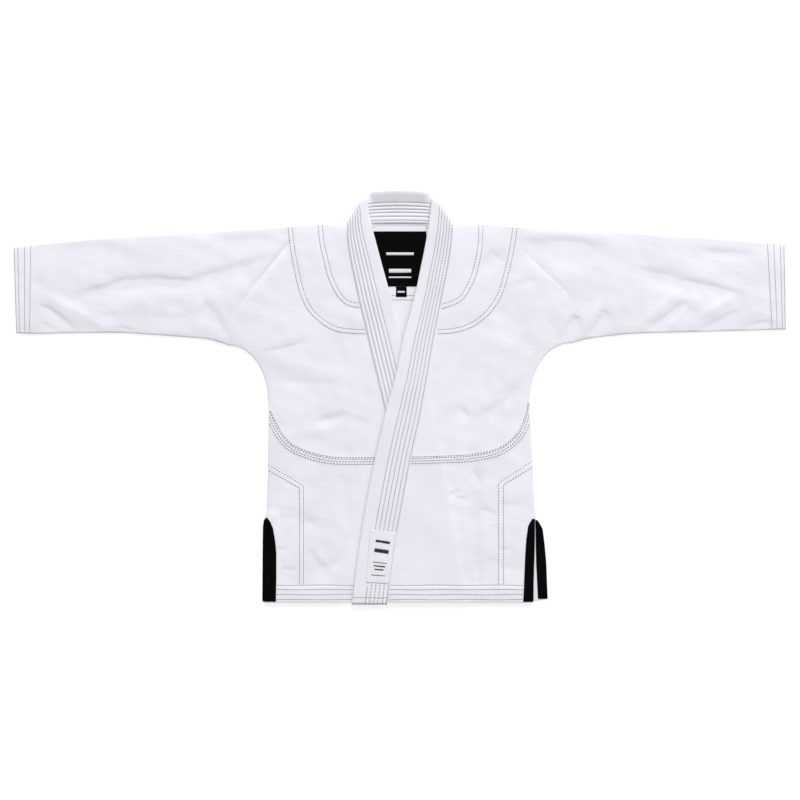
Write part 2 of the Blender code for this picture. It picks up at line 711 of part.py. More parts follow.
def sleeve_ring(start, along, width, top_z, wall, side, bottom_z=0.0):
    """One ring of a sleeve wall: lower wall, fold, upper wall, fold."""
    turn = 0.5 * (FRONT_LOW + WALL)
    radius = 0.5 * (top_z - bottom_z)
    ring = []

    def put(reach, z):
        ring.append((start.x + along.x * reach, start.y + along.y * reach, z))

    for i in range(7):
        put(turn + (width - 2 * turn) * i / 6, bottom_z)
    for angle in (-0.25, 0.0, 0.25):
        put(width - turn + radius * math.cos(angle * math.pi),
            0.5 * (top_z + bottom_z) + radius * math.sin(angle * math.pi))
    for i in range(11):
        reach = turn + (width - 2 * turn) * (1 - i / 10)
        x, y = start.x + along.x * reach, start.y + along.y * reach
        put(reach, FRONT_LOWS[side](x, y) + wall)
    for angle in (0.75, 1.0, 1.25):
        put(turn + radius * math.cos(angle * math.pi),
            0.5 * (top_z + bottom_z) + radius * math.sin(angle * math.pi))
    return ring


def collar_section(sewn, free, low_sewn, low_free, thick, outside_up):
    """Outer and inner points across a lapel, or the back of the neck with its raised edge."""
    outer, inner = [], []
    for across in COLLAR_ACROSS:
        share = across.from_sewn * MM / COLLAR_WIDTH
        x, y = mix(sewn.x, free.x, share), mix(sewn.y, free.y, share)
        middle = mix(low_sewn, low_free, share) + 0.5 * thick
        if not outside_up:
            middle += (NECK_ROLL * math.exp(-((share - 0.98) / 0.13) ** 2)
                       * ease((0.049 - abs(x)) / 0.012))
        half = 0.5 * across.thick * MM * thick / COLLAR_THICK
        shown, hidden = half - across.dip * MM, -half
        up, down = (shown, hidden)
        outer.append((x, y, middle + up if outside_up else middle + down))
        inner.append((x, y, middle + down if outside_up else middle + up))
    return outer, inner


def collar_turn(sewn, free, outward, angle):
    """Outer and inner points across the fold beside the neck, at an angle from +90 to -90."""
    rise = 0.5 * (COLLAR_THICK + GAP)
    centre = COLLAR_THICK + 0.5 * GAP
    c, s = math.cos(angle), math.sin(angle)
    width = math.dist(sewn, free)
    run = Point((free.x - sewn.x) / width, (free.y - sewn.y) / width)
    top_share = 0.5 + 0.5 * s
    outer, inner = [], []
    for across in COLLAR_ACROSS:
        share = across.from_sewn * MM / COLLAR_WIDTH
        x, y = mix(sewn.x, free.x, share), mix(sewn.y, free.y, share)
        reach_out = FOLD_OUT * (mix(0.8, 1.0, ease(share * 4.4)) - 0.5 * ease((share - 0.72) / 0.28))
        lean_out, lean_up = c / reach_out, s / rise
        length = math.hypot(lean_out, lean_up)
        half = 0.5 * across.thick * MM
        for points, reach in ((outer, half - across.dip * MM * top_share),
                              (inner, -half + across.dip * MM * (1 - top_share))):
            out = reach_out * c + lean_out / length * reach
            slant = FOLD_SLANT * (1 - ease((share - 0.6) / 0.4)) * out
            points.append((x + outward.x * out + run.x * slant, y + outward.y * out + run.y * slant,
                           centre + rise * s + lean_up / length * reach))
    return outer, inner


def fold_outward(row):
    """Unit direction out of the neck, across the fold line."""
    dx, dy = row.free_x - row.sewn_x, row.free_y - row.sewn_y
    length = math.hypot(dx, dy)
    sign = 1 if row.sewn_x > 0 else -1
    return Point(sign * dy / length, -sign * dx / length)


def lapel_rows(side):
    """The lapel's table read at even steps down its sewn edge, from the fold to the hem."""
    rows = smooth_path(LAPEL[side], 6)
    line = Line([(r[0] * MM, r[1] * MM) for r in rows])
    steps = LAPEL_STEPS[side]
    return [row_at(rows, line, i / steps) for i in range(steps + 1)]


def lapel_sections(side):
    """Sections of one lapel below the fold, down to the hem."""
    sections = []
    for r in lapel_rows(side)[1:]:
        sewn, free = Point(r[0] * MM, r[1] * MM), Point(r[2] * MM, r[3] * MM)
        sections.append(collar_section(sewn, free, r[4] * MM, r[5] * MM,
                                       collar_nominal(side, sewn.y), True))
    return sections


def row_at(rows, line, share):
    """A table row between rows, at a share of the sewn edge's length."""
    reach = share * line.lengths[-1]
    i = min(max(bisect_right(line.lengths, reach), 1), len(rows) - 1)
    part = (reach - line.lengths[i - 1]) / (line.lengths[i] - line.lengths[i - 1])
    return [mix(a, b, part) for a, b in zip(rows[i - 1], rows[i])]


def collar(material):
    """The one long band: left lapel, fold, back of the neck, fold, right lapel."""
    sections = lapel_sections("left")[::-1]
    for side in ("left", "right"):
        row = LAPEL[side][0]
        sewn, free = Point(row.sewn_x * MM, row.sewn_y * MM), Point(row.free_x * MM, row.free_y * MM)
        turns = [collar_turn(sewn, free, fold_outward(row), math.pi * (0.5 - i / FOLD_STEPS))
                 for i in range(FOLD_STEPS + 1)]
        if side == "left":
            sections += turns
            sections += neck_sections()
        else:
            sections += turns[::-1]
    sections += lapel_sections("right")
    outer = [section[0] for section in sections]
    inner = [section[1] for section in sections]
    return cloth_wall("collar", outer, inner, material)


def neck_sections():
    rows = smooth_path(NECK_ROWS, 6)
    sections = []
    for i in range(1, NECK_STEPS):
        r = rows[round(i / NECK_STEPS * (len(rows) - 1))]
        sewn, free = Point(r[0] * MM, r[1] * MM), Point(r[2] * MM, r[3] * MM)
        sections.append(collar_section(sewn, free, 0.0, 0.0, COLLAR_THICK, False))
    return sections


def vent_tape(name, rows, top, lip_z, material):
    """A tape that lies along an edge and turns down over it; top(x, y) is what it lies on."""
    outer, inner = [], []
    for row in rows:
        sign = 1 if row.outer > 0 else -1
        y, x_in, x_out = row.y * MM, row.inner * MM, row.outer * MM
        bend = x_out - sign * 0.0016
        row_outer, row_inner = [], []
        for share in (0.0, 0.35, 0.7, 1.0):
            x = mix(x_in, bend, share)
            z = max(top(x, y), top(x - sign * 0.001, y)) + GAP
            row_inner.append((x, y, z))
            row_outer.append((x, y, z + TAPE_THICK))
        edge_z = row_inner[-1][2]
        row_inner.append((x_out, y, edge_z - 0.0004))
        row_outer.append((x_out + sign * 0.0005, y, edge_z + 0.0002))
        row_inner.append((x_out, y, lip_z))
        row_outer.append((x_out + sign * TAPE_THICK, y, lip_z))
        outer.append(row_outer)
        inner.append(row_inner)
    return cloth_wall(name, outer, inner, material)


def flat_label(name, corners, low, material):
    """A rectangle that lies flat."""
    x0, y0, x1, y1 = corners
    plan = [[Point(x, y) for x in (x0, x1)] for y in (y0, y1)]
    return panel(name, plan, lambda x, y: low, lambda x, y: low + LABEL_THICK, material)


def lapel_label(material):
    """A patch on the left lapel, from the lapel's own points moved out."""
    rows = smooth_path(LAPEL["left"], 6)
    line = Line([(r[0] * MM, r[1] * MM) for r in rows])
    place = LAPEL_LABEL
    outer, inner = [], []
    for i in range(9):
        y = mix(place["bottom_y"], place["top_y"], i / 8)
        share = share_at(line, y)
        r = row_at(rows, line, share)
        top_row, under_row = [], []
        for j in range(6):
            across = mix(place["to_sewn"], place["from_sewn"], j / 5) / COLLAR_WIDTH
            x, py = mix(r[0], r[2], across) * MM, mix(r[1], r[3], across) * MM
            thick = thickness_at(across * COLLAR_WIDTH / MM) * MM
            z = mix(r[4], r[5], across) * MM + 0.5 * (COLLAR_THICK + thick) + GAP
            under_row.append((x, py, z))
            top_row.append((x, py, z + LABEL_THICK))
        outer.append(top_row)
        inner.append(under_row)
    return cloth_wall("lapel_label", outer, inner, material)


def share_at(line, y):
    """Share of a downward path's length at which it reaches y."""
    for i, (a, b) in enumerate(zip(line.points, line.points[1:])):
        if b.y <= y <= a.y:
            reach = mix(line.lengths[i], line.lengths[i + 1], (a.y - y) / (a.y - b.y))
            return reach / line.lengths[-1]
    return 1.0


def thickness_at(from_sewn):
    return read_table(COLLAR_ACROSS, "from_sewn", "thick", from_sewn)


def build():
    cloth = make_material("pearl weave cotton", CLOTH, 0.85)
    band = make_material("collar cloth", CLOTH, 0.8)
    twill = make_material("dark twill tape", DARK, 0.7)
    woven = make_material("dark woven label", DARK, 0.6)
    patch = make_material("light woven label", CLOTH, 0.7)
    across = back_upper(cloth)
    back_skirt(cloth, across)
    for side in ("right", "left"):
        front_upper(side, cloth)
        front_skirt(side, cloth)
        sleeve(side, cloth)
        vent_tape("vent_tape_front_%s" % side, TAPE_FRONT[side],
                  lambda x, y, s=side: front_top(s, x, y), FRONT_LIP[side], twill)
        vent_tape("vent_tape_back_%s" % side, TAPE_BACK[side], lambda x, y: WALL, 0.0001, twill)
    collar(band)
    flat_label("neck_label", NECK_LABEL, WALL + GAP, woven)
    flat_label("size_tab", SIZE_TAB, WALL + GAP, woven)
    lapel_label(patch)


clear_scene()
garment = bpy.data.collections.new("jiu_jitsu_gi_jacket")
bpy.context.scene.collection.children.link(garment)
build()
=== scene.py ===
"""Looks of a jiu-jitsu gi jacket that lies flat on its back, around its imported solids.

Metres, +Z up. The hem points to -Y, the collar to +Y, and +X is the wearer's left.
Every panel is a thin wall of cloth on its solid's form, with finer creases, hems and patches.
Stitching is real thread: one short capsule for each stitch, laid along rows on the cloth.
Names: low or under is a wall's lower face, sewn and free are the collar's two edges, and a
share is a part of a length or width, from 0 to 1.
"""

import math
from collections import namedtuple

import bmesh
import bpy
import numpy as np
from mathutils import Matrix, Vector


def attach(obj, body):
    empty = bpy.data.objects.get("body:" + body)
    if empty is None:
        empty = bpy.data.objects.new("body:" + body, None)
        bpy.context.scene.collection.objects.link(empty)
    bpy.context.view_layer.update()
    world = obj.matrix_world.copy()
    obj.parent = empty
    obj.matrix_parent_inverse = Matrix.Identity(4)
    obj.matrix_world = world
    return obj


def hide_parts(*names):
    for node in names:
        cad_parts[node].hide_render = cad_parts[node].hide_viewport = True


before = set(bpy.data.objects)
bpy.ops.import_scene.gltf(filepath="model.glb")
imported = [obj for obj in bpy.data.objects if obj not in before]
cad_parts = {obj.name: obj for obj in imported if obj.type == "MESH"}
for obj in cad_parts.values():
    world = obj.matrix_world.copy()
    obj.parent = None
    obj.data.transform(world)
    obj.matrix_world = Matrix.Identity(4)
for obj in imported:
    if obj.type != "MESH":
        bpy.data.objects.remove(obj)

bl_info = {
    "name": "Jiu-jitsu gi jacket",
    "version": (1, 0, 0),
    "blender": (4, 5, 0),
    "location": "3D View > Sidebar > Gi jacket",
    "description": "Cloth, stitching, tapes and labels of a jiu-jitsu gi jacket laid flat",
    "category": "Add Mesh",
}

MM = 0.001                # the tables are in millimetres
WALL = 0.0016             # body cloth
GAP = 0.0003              # between layers that lie on each other
SEAM_GAP = 0.00004        # between panels that are sewn edge to edge
FRONT_LOW = WALL + GAP    # lowest underside of what lies on the back panel
SIDES = ("right", "left")
SIGN = {"right": -1, "left": 1}

SEAM_X = 0.174            # top of the armhole seam
ARM_X = 0.265             # underarm end of the armhole seam
HEM_Y = -0.3187
BACK_HEM_LEFT = ((0.150, HEM_Y), (0.200, -0.3172), (0.228, -0.3135))  # it rises at the left vent
PUFF = 0.0025             # how far the upper layer stands off the lower one
PUFF_REACH = 0.018
LIFT_MOST = 0.0080
LIFT_LEAST = 0.0003       # creases never press the layers closer than about half of this
CREASE_CALM = 0.006       # creases fade out this near a folded edge
CLOSE, CLOSE_REACH = 0.00022, 0.0012  # both layers meet along folded edges
FOLD_ROUND = 0.0018       # reach of the rounding along folded edges
RIM_ROUND = 0.0014        # and along hems and cuffs
FOLD_PINCH, RIM_PINCH = 0.78, 0.85    # 1 less the square of the share left at the very edge

COLLAR_WIDTH = 0.053
COLLAR_THICK = 0.0046
COLLAR_PRESSED = 0.0034   # where it is hidden under the other front
FOLD_OUT = 0.0052         # middle of the cloth, outside the fold line
FOLD_SLANT = 1.1          # rows run on along the fold by this share of their way out
BAND_MARGIN = 0.009       # the left front is held up this far beside the right lapel
BAND_DROP = 0.014         # and comes down within this
BAND_CALM = 0.85          # share of its creases lost there
UNDER_FROM, UNDER_REACH = 0.024, 0.020    # where the right front is pressed, from the left's edge

HEM_TOP = -0.2925         # hems and cuffs are thicker, and so are the reinforcements
CUFF_X = 0.5735
HEM_EXTRA = 0.0006
PATCH_EXTRA = 0.0004
PATCH_EDGE = 0.0012
YOKE_EXTRA = 0.0003
SEAM_EXTRA = 0.0005
SEAM_BAND = 0.0075
STEP = 0.0016             # way over which a hem or cuff reaches its thickness
WELT, WELT_REACH = 0.00025, 0.0022    # ridge between the two rows of a pair
DENT, DENT_REACH = 0.00020, 0.0065    # and the dent that both rows sink in

LAPEL_RISE = 0.0015       # a front's underside over the lapel's, along the seam between them
RISE_REACH = 0.018
TAPE_THICK = 0.0008
TAPE_BEND = 0.0016        # a tape turns down over its edge within this
TAPE_DROP = 0.0008
TAPE_SPACING = 0.0022
TAPE_SHARES = np.array((0.0, 0.04, 0.12, 0.3, 0.5, 0.7, 0.85, 1.0))
LABEL_THICK = 0.0006
LABEL_ROUND, LABEL_PINCH = 0.0009, 0.8
LABEL_SPACING, PATCH_SPACING = 0.0020, 0.0016
LABEL_SEWN, PATCH_SEWN = 0.006, 0.005     # reach of the hold of a label's sewn edge
LABEL_LIFT = 0.0002       # the lapel's label clears the puckers of its rows
BAR_RISE = 0.0003         # middle of a bar's thread above its label

LOOK = {"depth": 1.0, "spacing": 0.0022}  # replaced by the settings
BACK_SPACING = 1.6        # of the mesh spacing, for the flat back
UPPER_FADE = 6            # keeps the bends of an upper panel's lower edge close to it
SLEEVE_LOWER, SLEEVE_UPPER, SLEEVE_FOLD = 34, 84, 11  # points round a sleeve
SLEEVE_MIDDLE = 80        # one of them in the middle of the upper wall
TURN_STEPS, NECK_STEPS = 22, 62
COLLAR_SPACING = 0.0029
LAPEL_LENGTH = 0.62       # about, along its sewn edge

SideCurve = namedtuple("SideCurve", "waist_x waist_y arm_y")
LapelRow = namedtuple("LapelRow", "sewn_x sewn_y free_x free_y low_sewn low_free")
NeckRow = namedtuple("NeckRow", "sewn_x sewn_y free_x free_y")
Across = namedtuple("Across", "from_sewn thick")
Crease = namedtuple("Crease", "x0 y0 x1 y1 x2 y2 half_width height crisp", defaults=(0,))
TapeRow = namedtuple("TapeRow", "y inner outer")
FoldPoint = namedtuple("FoldPoint", "x y depth")
Wave = namedtuple("Wave", "height seed length")


def table(kind, *rows):
    """Rows with named columns."""
    return tuple(kind(*row) for row in rows)


SLEEVE_TOP = {
    "left": ((85, 272.5), (265, 261), (430, 252.3), (520, 245.5), (598.2, 238.6)),
    "right": ((-85, 272.5), (-265, 260.3), (-430, 250.2), (-520, 243.2), (-600, 234)),
}
SLEEVE_BOTTOM = {
    "left": ((265, 84.5), (276, 87), (295, 91.7), (332, 96.3), (370, 99.5), (426, 101),
             (482, 102.6), (538, 104.1), (600, 105.8)),
    "right": ((-265, 80.8), (-283, 86.2), (-301, 90.9), (-338, 94), (-394, 98), (-431, 100.2),
              (-506, 100.2), (-562, 98.7), (-596, 100)),
}
UNDERARM = {
    "left": SideCurve(waist_x=0.2018, waist_y=-0.004, arm_y=0.0845),
    "right": SideCurve(waist_x=-0.2052, waist_y=-0.004, arm_y=0.0808),
}
FRONT_SIDE = {
    "left": ((201.8, -4), (204.5, -74), (207, -112), (208, -149), (208.5, -186), (208.3, -232),
             (206.5, -276), (206, -318.7)),
    "right": ((-205.2, -4), (-205.2, -124), (-207, -174), (-208.5, -186), (-209.5, -199),
              (-209.5, -318.7)),
}
BACK_SIDE = {
    "left": ((201.8, -4), (204.5, -74), (207, -112), (208, -149), (210.5, -186), (217, -199),
             (221.5, -211), (225, -249), (226.8, -286), (228, -313.5)),
    "right": ((-205.2, -4), (-205.2, -124), (-207, -174), (-209, -186), (-211.5, -199),
              (-212, -299), (-212.5, -318)),
}
CURVED_SEAM = {
    "left": ((201.7, -8), (198.4, -30.3), (189.6, -53.6), (171, -73.8), (147.7, -86.3),
             (113.5, -93.3), (82.4, -95.5), (15, -97.5), (-40, -97.5)),
    "right": ((-204.2, -22.5), (-198.2, -38), (-189.6, -55), (-174, -74), (-155.4, -84.7),
              (-129, -93.3), (-98, -98), (-38.9, -98.5), (0, -98.5)),
}

# Lapels, from the fold beside the neck down to the hem; low_* is the underside's height.
LAPEL = {
    "left": table(
        LapelRow,
        (81.5, 262, 48.5, 309, 4.9, 4.9),
        (80.5, 245, 46, 280, 4.7, 4.9),
        (76.5, 214, 39.7, 240, 3.9, 4.4),
        (70.5, 182, 32.2, 203, 3.2, 3.8),
        (64, 150, 24.8, 167, 3.0, 4.0),
        (57.5, 118, 16, 132, 3.6, 5.6),
        (50.5, 80, 5, 92, 4.6, 7.2),
        (41.5, 27, -6, 38, 5.8, 7.8),
        (36, -3, -14, 9, 6.8, 7.3),
        (31, -32, -22, -21, 6.9, 6.9),
        (18, -90, -35.5, -79, 6.4, 5.3),
        (5, -159, -50, -149, 5.8, 4.2),
        (-9, -235, -63, -227, 4.3, 3.9),
        (-20, -322.2, -75.5, -322.5, 3.8, 3.8),
    ),
    "right": table(
        LapelRow,
        (-81.5, 262, -50.5, 309, 4.9, 4.9),
        (-82, 245, -47, 280, 4.7, 4.9),
        (-77.7, 214, -36.8, 240, 3.9, 4.4),
        (-71, 182, -26.9, 203, 3.0, 3.4),
        (-64.8, 151, -17, 167, 2.5, 2.9),
        (-57, 120, -8.4, 132, 2.0, 2.2),
        (-49, 85, 1.5, 97, 1.9, 1.9),
        (-35, 27, 16, 38, 1.9, 1.9),
        (-21, -32, 31, -21, 1.9, 1.9),
        (-8, -90, 45, -79, 1.9, 1.9),
        (5, -159, 59, -149, 1.9, 1.9),
        (18, -235, 72, -227, 1.9, 1.9),
        (29, -318.2, 84.5, -318.5, 1.9, 1.9),
    ),
}
NECK_ROWS = table(
    NeckRow,
    (81.5, 262, 48.5, 309),
    (72, 263.1, 45, 316),
    (58, 264.1, 38, 320),
    (30, 265.3, 21, 321.7),
    (0, 265.6, 0, 322.5),
    (-30, 265.3, -22, 321.7),
    (-58, 264.1, -39.5, 320),
    (-72, 263.1, -47, 316),
    (-81.5, 262, -50.5, 309),
)
NECK_NOTCH = ((83.7, 272.6), (83.3, 268.0), (82.0, 260.6))
NECKLINE = ((-81.9, 261.2), (-60, 263.6), (-30, 265.0), (0, 265.3), (30, 265.0), (60, 263.6),
            (81.9, 261.2))
COLLAR_ACROSS = table(
    Across,
    (0, 3.0), (4.6, 4.1), (10.9, 4.3), (17.2, 4.4), (23.5, 4.5),
    (29.8, 4.6), (43, 4.6), (48.5, 4.5), (53, 3.9),
)
COLLAR_ROWS = (1.5, 7.8, 14.1, 20.4, 26.7, 33.0)      # stitch rows, from the sewn edge
NECK_INSIDE_ROWS = (4.5, 8.6, 14.6, 20.5, 24.9, 29.7, 35.2)
COLLAR_DIP = 0.6          # rows sink in this far, in mm, over this half width
ROW_REACH = 0.95
COLLAR_QUILT = 0.28       # and the cloth between them by this
NECK_ROLL = 0.0064        # the free edge stands up behind the neck
NECK_ROLL_AT, NECK_ROLL_REACH = 0.98, 0.28    # as shares of the way across the band
NECK_THIN = 0.65          # share of the band's thickness lost at its sewn edge

# Creases of the upper layer: three points along each, reach to the side, height (- is a
# trough), and how crisp its line is.
CREASES = table(
    Crease,
    (-522, 148, -478, 167, -424, 184, 9, -0.8),
    (-448, 179, -388, 188, -322, 181, 9, -1.4, 0.1),
    (-345, 181, -275, 200, -190, 225, 10, -1.3),
    (-430, 150, -373, 163, -300, 178, 16, 0.3),
    (-303, 148, -284, 124, -270, 95, 9, -1.3, 0.1),
    (-552, 162, -501, 133, -451, 105, 11, 0.6),
    (-560, 144, -521, 124, -505, 105, 9, -0.4),
    (-560, 234, -490, 239, -420, 235, 14, -0.8),
    (-215, 89, -179, 97, -146, 108, 11, 0.65),
    (-202, 51, -155, 30, -93, 23, 10, -0.35),
    (-194, 66, -151, 52, -106, 43, 12, 0.7),
    (-129, -35, -107, -27, -85, -23, 9, -0.6),
    (-182, -51, -132, -46, -78, -37, 11, 0.9),
    (-82, -120, -85, -159, -81, -206, 12, -0.7),
    (-140, -232, -121, -260, -93, -237, 10, -0.6),
    (90, -12, 99, -21, 109, -30, 9, -0.5),
    (109, -30, 148, -12, 187, 19, 10, -0.3),
    (115, -30, 110, -159, 118, -276, 11, -0.9),
    (129, -35, 126, -159, 132, -268, 12, 0.8),
    (31, -198, 65, -225, 101, -245, 14, -0.8),
    (184, 243, 250, 241, 318, 236, 14, -1.7),
    (192, 262, 250, 261, 330, 256, 10, 1.0),
    (139, 229, 150, 221, 162, 211, 8, -0.9),
    (155, 144, 182, 108, 210, 74, 10, -0.5),
    (155, 4, 183, 23, 210, 43, 10, -0.6),
    (256, 89, 264, 108, 272, 128, 8, -1.1),
    (295, 97, 306, 117, 319, 136, 8, -1.3),
    (269, 92, 289, 120, 311, 152, 11, 1.3),
    (373, 201, 448, 184, 536, 144, 13, -1.0),
    (381, 175, 448, 158, 521, 124, 14, 0.6),
    (389, 108, 412, 128, 443, 152, 9, -0.6),
    (466, 105, 494, 120, 521, 136, 9, -0.6),
    (468, 128, 490, 144, 515, 159, 10, 0.8),
    (-295, 245, -233, 251, -174, 254, 10, -0.7),
    (-560, 144, -536, 134, -505, 105, 5, -0.8, 0.4),
    (-552, 162, -497, 136, -451, 105, 7, 0.7),
    (-466, 131, -451, 130, -435, 131, 6, -0.5),
    (-435, 111, -423, 108, -412, 103, 4, -0.7, 0.3),
    (-555, 117, -542, 110, -528, 103, 5, -0.7, 0.3),
    (-389, 131, -354, 128, -319, 131, 8, -0.5),
    (-435, 178, -373, 181, -311, 183, 6, -0.5, 0.2),
    (-528, 158, -482, 170, -435, 180, 6, -0.4),
    (-215, 74, -179, 80, -145, 92, 4, -0.5, 0.5),
    (-215, 33, -155, 27, -101, 26, 5, -0.3, 0.3),
    (-98, 89, -93, 66, -89, 40, 8, -0.4),
    (-131, -35, -106, -29, -84, -21, 4, -0.6, 0.5),
    (-85, -23, -68, -32, -50, -35, 5, -0.35),
    (-190, -187, -179, -184, -169, -187, 6, -0.4),
    (-149, -187, -140, -190, -131, -189, 6, -0.4),
    (-140, -234, -123, -257, -109, -262, 6, -0.5, 0.2),
    (-109, -262, -99, -253, -90, -237, 6, -0.5),
    (-199, -231, -187, -234, -171, -231, 4, -0.4, 0.2),
    (-182, -262, -171, -265, -162, -262, 4, -0.5, 0.3),
    (90, -12, 103, -23, 110, -30, 5, -0.5, 0.3),
    (110, -30, 146, -13, 187, 18, 5, -0.4, 0.4),
    (115, -113, 121, -125, 129, -138, 5, -0.6, 0.2),
    (131, -167, 140, -175, 152, -180, 6, -0.7, 0.2),
    (30, -47, 44, -51, 58, -47, 4, -0.6, 0.3),
    (53, -60, 62, -63, 70, -66, 4, -0.6, 0.3),
    (62, -153, 78, -148, 93, -141, 4, -0.5, 0.3),
    (81, -147, 93, -155, 106, -153, 4, -0.5, 0.3),
    (20, -201, 31, -201, 44, -203, 5, -0.6, 0.2),
    (3, -229, 31, -246, 70, -262, 12, 0.6),
    (0, -265, 19, -268, 39, -262, 6, -0.4),
    (140, -249, 137, -271, 135, -291, 5, -0.7, 0.4),
    (121, -253, 121, -276, 123, -291, 4, -0.4, 0.3),
    (129, -245, 131, -265, 129, -284, 4, 0.4),
    (155, -159, 168, -164, 180, -159, 5, -0.35),
    (154, -229, 163, -234, 174, -229, 4, -0.4, 0.2),
    (155, -260, 163, -262, 173, -260, 4, -0.35, 0.2),
    (16, -117, 28, -120, 39, -119, 4, -0.4, 0.2),
    (169, 176, 190, 181, 210, 187, 5, -0.5, 0.2),
    (155, 229, 160, 220, 163, 209, 6, -0.35),
    (274, 128, 264, 108, 255, 88, 5, -0.7, 0.3),
    (82, 80, 90, 74, 99, 72, 8, -0.4),
    (47, 44, 56, 46, 65, 43, 6, -0.35),
    (124, 47, 134, 49, 143, 44, 5, -0.35),
    (367, 203, 404, 195, 443, 184, 8, -0.6),
    (445, 183, 485, 176, 532, 162, 6, -0.8, 0.3),
    (446, 184, 445, 169, 441, 153, 4, -0.8, 0.7),
    (385, 106, 413, 128, 445, 153, 6, -1.1, 0.4),
    (367, 110, 404, 145, 440, 170, 8, 0.8),
    (417, 111, 432, 127, 445, 144, 5, 0.6),
    (463, 103, 494, 120, 524, 138, 5, -0.9, 0.4),
    (463, 127, 490, 145, 516, 161, 8, 0.8),
    (535, 108, 555, 117, 577, 120, 6, -0.9, 0.3),
    (530, 122, 547, 134, 569, 142, 7, 0.5),
    (466, 231, 505, 229, 550, 225, 9, -1.0),
    (474, 218, 510, 217, 547, 211, 7, 0.4),
    (230, 117, 242, 105, 249, 86, 7, -0.5),
)
CREASE_PARTS = 8
CREASE_REACH = 0.85       # shares of the table's sizes at which creases are made
RIDGE_SHARE, TROUGH_SHARE = 1.15, 1.9
RIDGE_BOX, TROUGH_BOX = 2.5, 6.5      # where a crease still acts, in half widths
STEEP = 0.4               # distances on a trough's shaded side count this much
SHARP = 0.55              # reach of a crisp line, as a share of the half width
SHADE_FROM = np.array((-0.08, 0.99))
SLOPE_AT = 0.6            # a crease's middle lies this share of its reach beyond its shaded slope
WAVE_COUNT = 16           # sines in a field of random waves
SLACK = table(Wave, (0.00025, 3, 0.060), (0.00015, 4, 0.024), (0.00004, 5, 0.009))
PUCKER, COLLAR_SLACK = Wave(0.00007, 11, 0.008), Wave(0.00008, 12, 0.050)
NECK_SLACK = Wave(0.0001, 13, 0.030)
LABEL_SLACK, PATCH_SLACK = Wave(0.00012, 21, 0.030), Wave(0.0001, 22, 0.020)

# Lines of the armhole folds from the shoulder down. The cloth rolls up widely to each line
# and dips sharply at it, a little more sharply on the body's side.
ARMHOLE_ROLL, ARMHOLE_ROLL_REACH, ARMHOLE_DIP = 0.7, 0.026, 1.3
ARMHOLE_DIP_BODY, ARMHOLE_DIP_SLEEVE = 0.0055, 0.0060
ARMHOLE_FOLDS = (
    table(FoldPoint, (-170, 245, 0.0), (-176, 236, 2.4), (-199, 207, 2.8), (-222, 179.5, 2.4),
          (-241, 155, 1.4), (-258, 133, 0.7), (-268, 112, 0.7), (-269, 92, 0.4)),
    table(FoldPoint, (186, 238, 0.0), (199, 221, 0.9), (228, 193, 1.1), (256, 167, 0.8),
          (269, 146, 0.4), (273, 124, 0.0)),
)

TAPE_FRONT = {
    "left": table(TapeRow, (-188.5, 205.5, 208.9), (-194, 202, 208.9), (-200, 199, 208.9),
             (-221.5, 196, 208.8), (-248.7, 194.3, 208.1),
             (-290, 192.7, 206.8), (-317.4, 191.4, 206.5)),
    "right": table(TapeRow, (-187, -206, -208.6), (-194, -201, -209.2), (-204, -197, -210),
              (-225.5, -193.5, -210), (-243, -192, -210), (-280, -192, -210),
              (-317, -192.7, -210)),
}
TAPE_BACK = {
    "left": table(TapeRow, (-190.5, 210.2, 213.2), (-199, 210.4, 218.2),
             (-204, 210.6, 221), (-227.7, 211, 224), (-256, 211.6, 226.6),
             (-303, 213.9, 228.4), (-312.8, 214.4, 228.9)),
    "right": table(TapeRow, (-189, -206, -210.5), (-199, -199, -212.2),
              (-225, -198, -212.7), (-280, -198, -213), (-316.6, -198, -213.3)),
}
FRONT_LIP = {"left": 0.0021, "right": 0.0031}
VENT_LIFT = 0.0012        # the right front stands off the back beside its vent
VENT_TOP_Y, VENT_X, VENT_REACH = -0.172, -0.182, 0.012

NECK_LABEL = (-0.0412, 0.1725, 0.0409, 0.2582)
SIZE_TAB = (-0.0062, 0.1562, 0.0104, 0.1722)
LAPEL_LABEL = {"top_y": -0.211, "bottom_y": -0.289, "from_sewn": 0.0012, "to_sewn": 0.0352,
               "to_sewn_top": 0.0395}
# Plain bars woven into the labels: ends in x and y; on the lapel x is from its sewn edge.
NECK_BARS = ((-0.0210, 0.2210, 0.0210, 0.2255), (-0.0170, 0.1935, 0.0170, 0.2000),
             (-0.0170, 0.1855, 0.0170, 0.1880), (-0.0035, 0.1625, 0.0070, 0.1655))
LAPEL_BARS = ((0.0080, -0.2290, 0.0290, -0.2250), (0.0080, -0.2440, 0.0290, -0.2380),
              (0.0080, -0.2590, 0.0290, -0.2582), (0.0100, -0.2650, 0.0270, -0.2630),
              (0.0120, -0.2700, 0.0250, -0.2680), (0.0080, -0.2780, 0.0290, -0.2772))

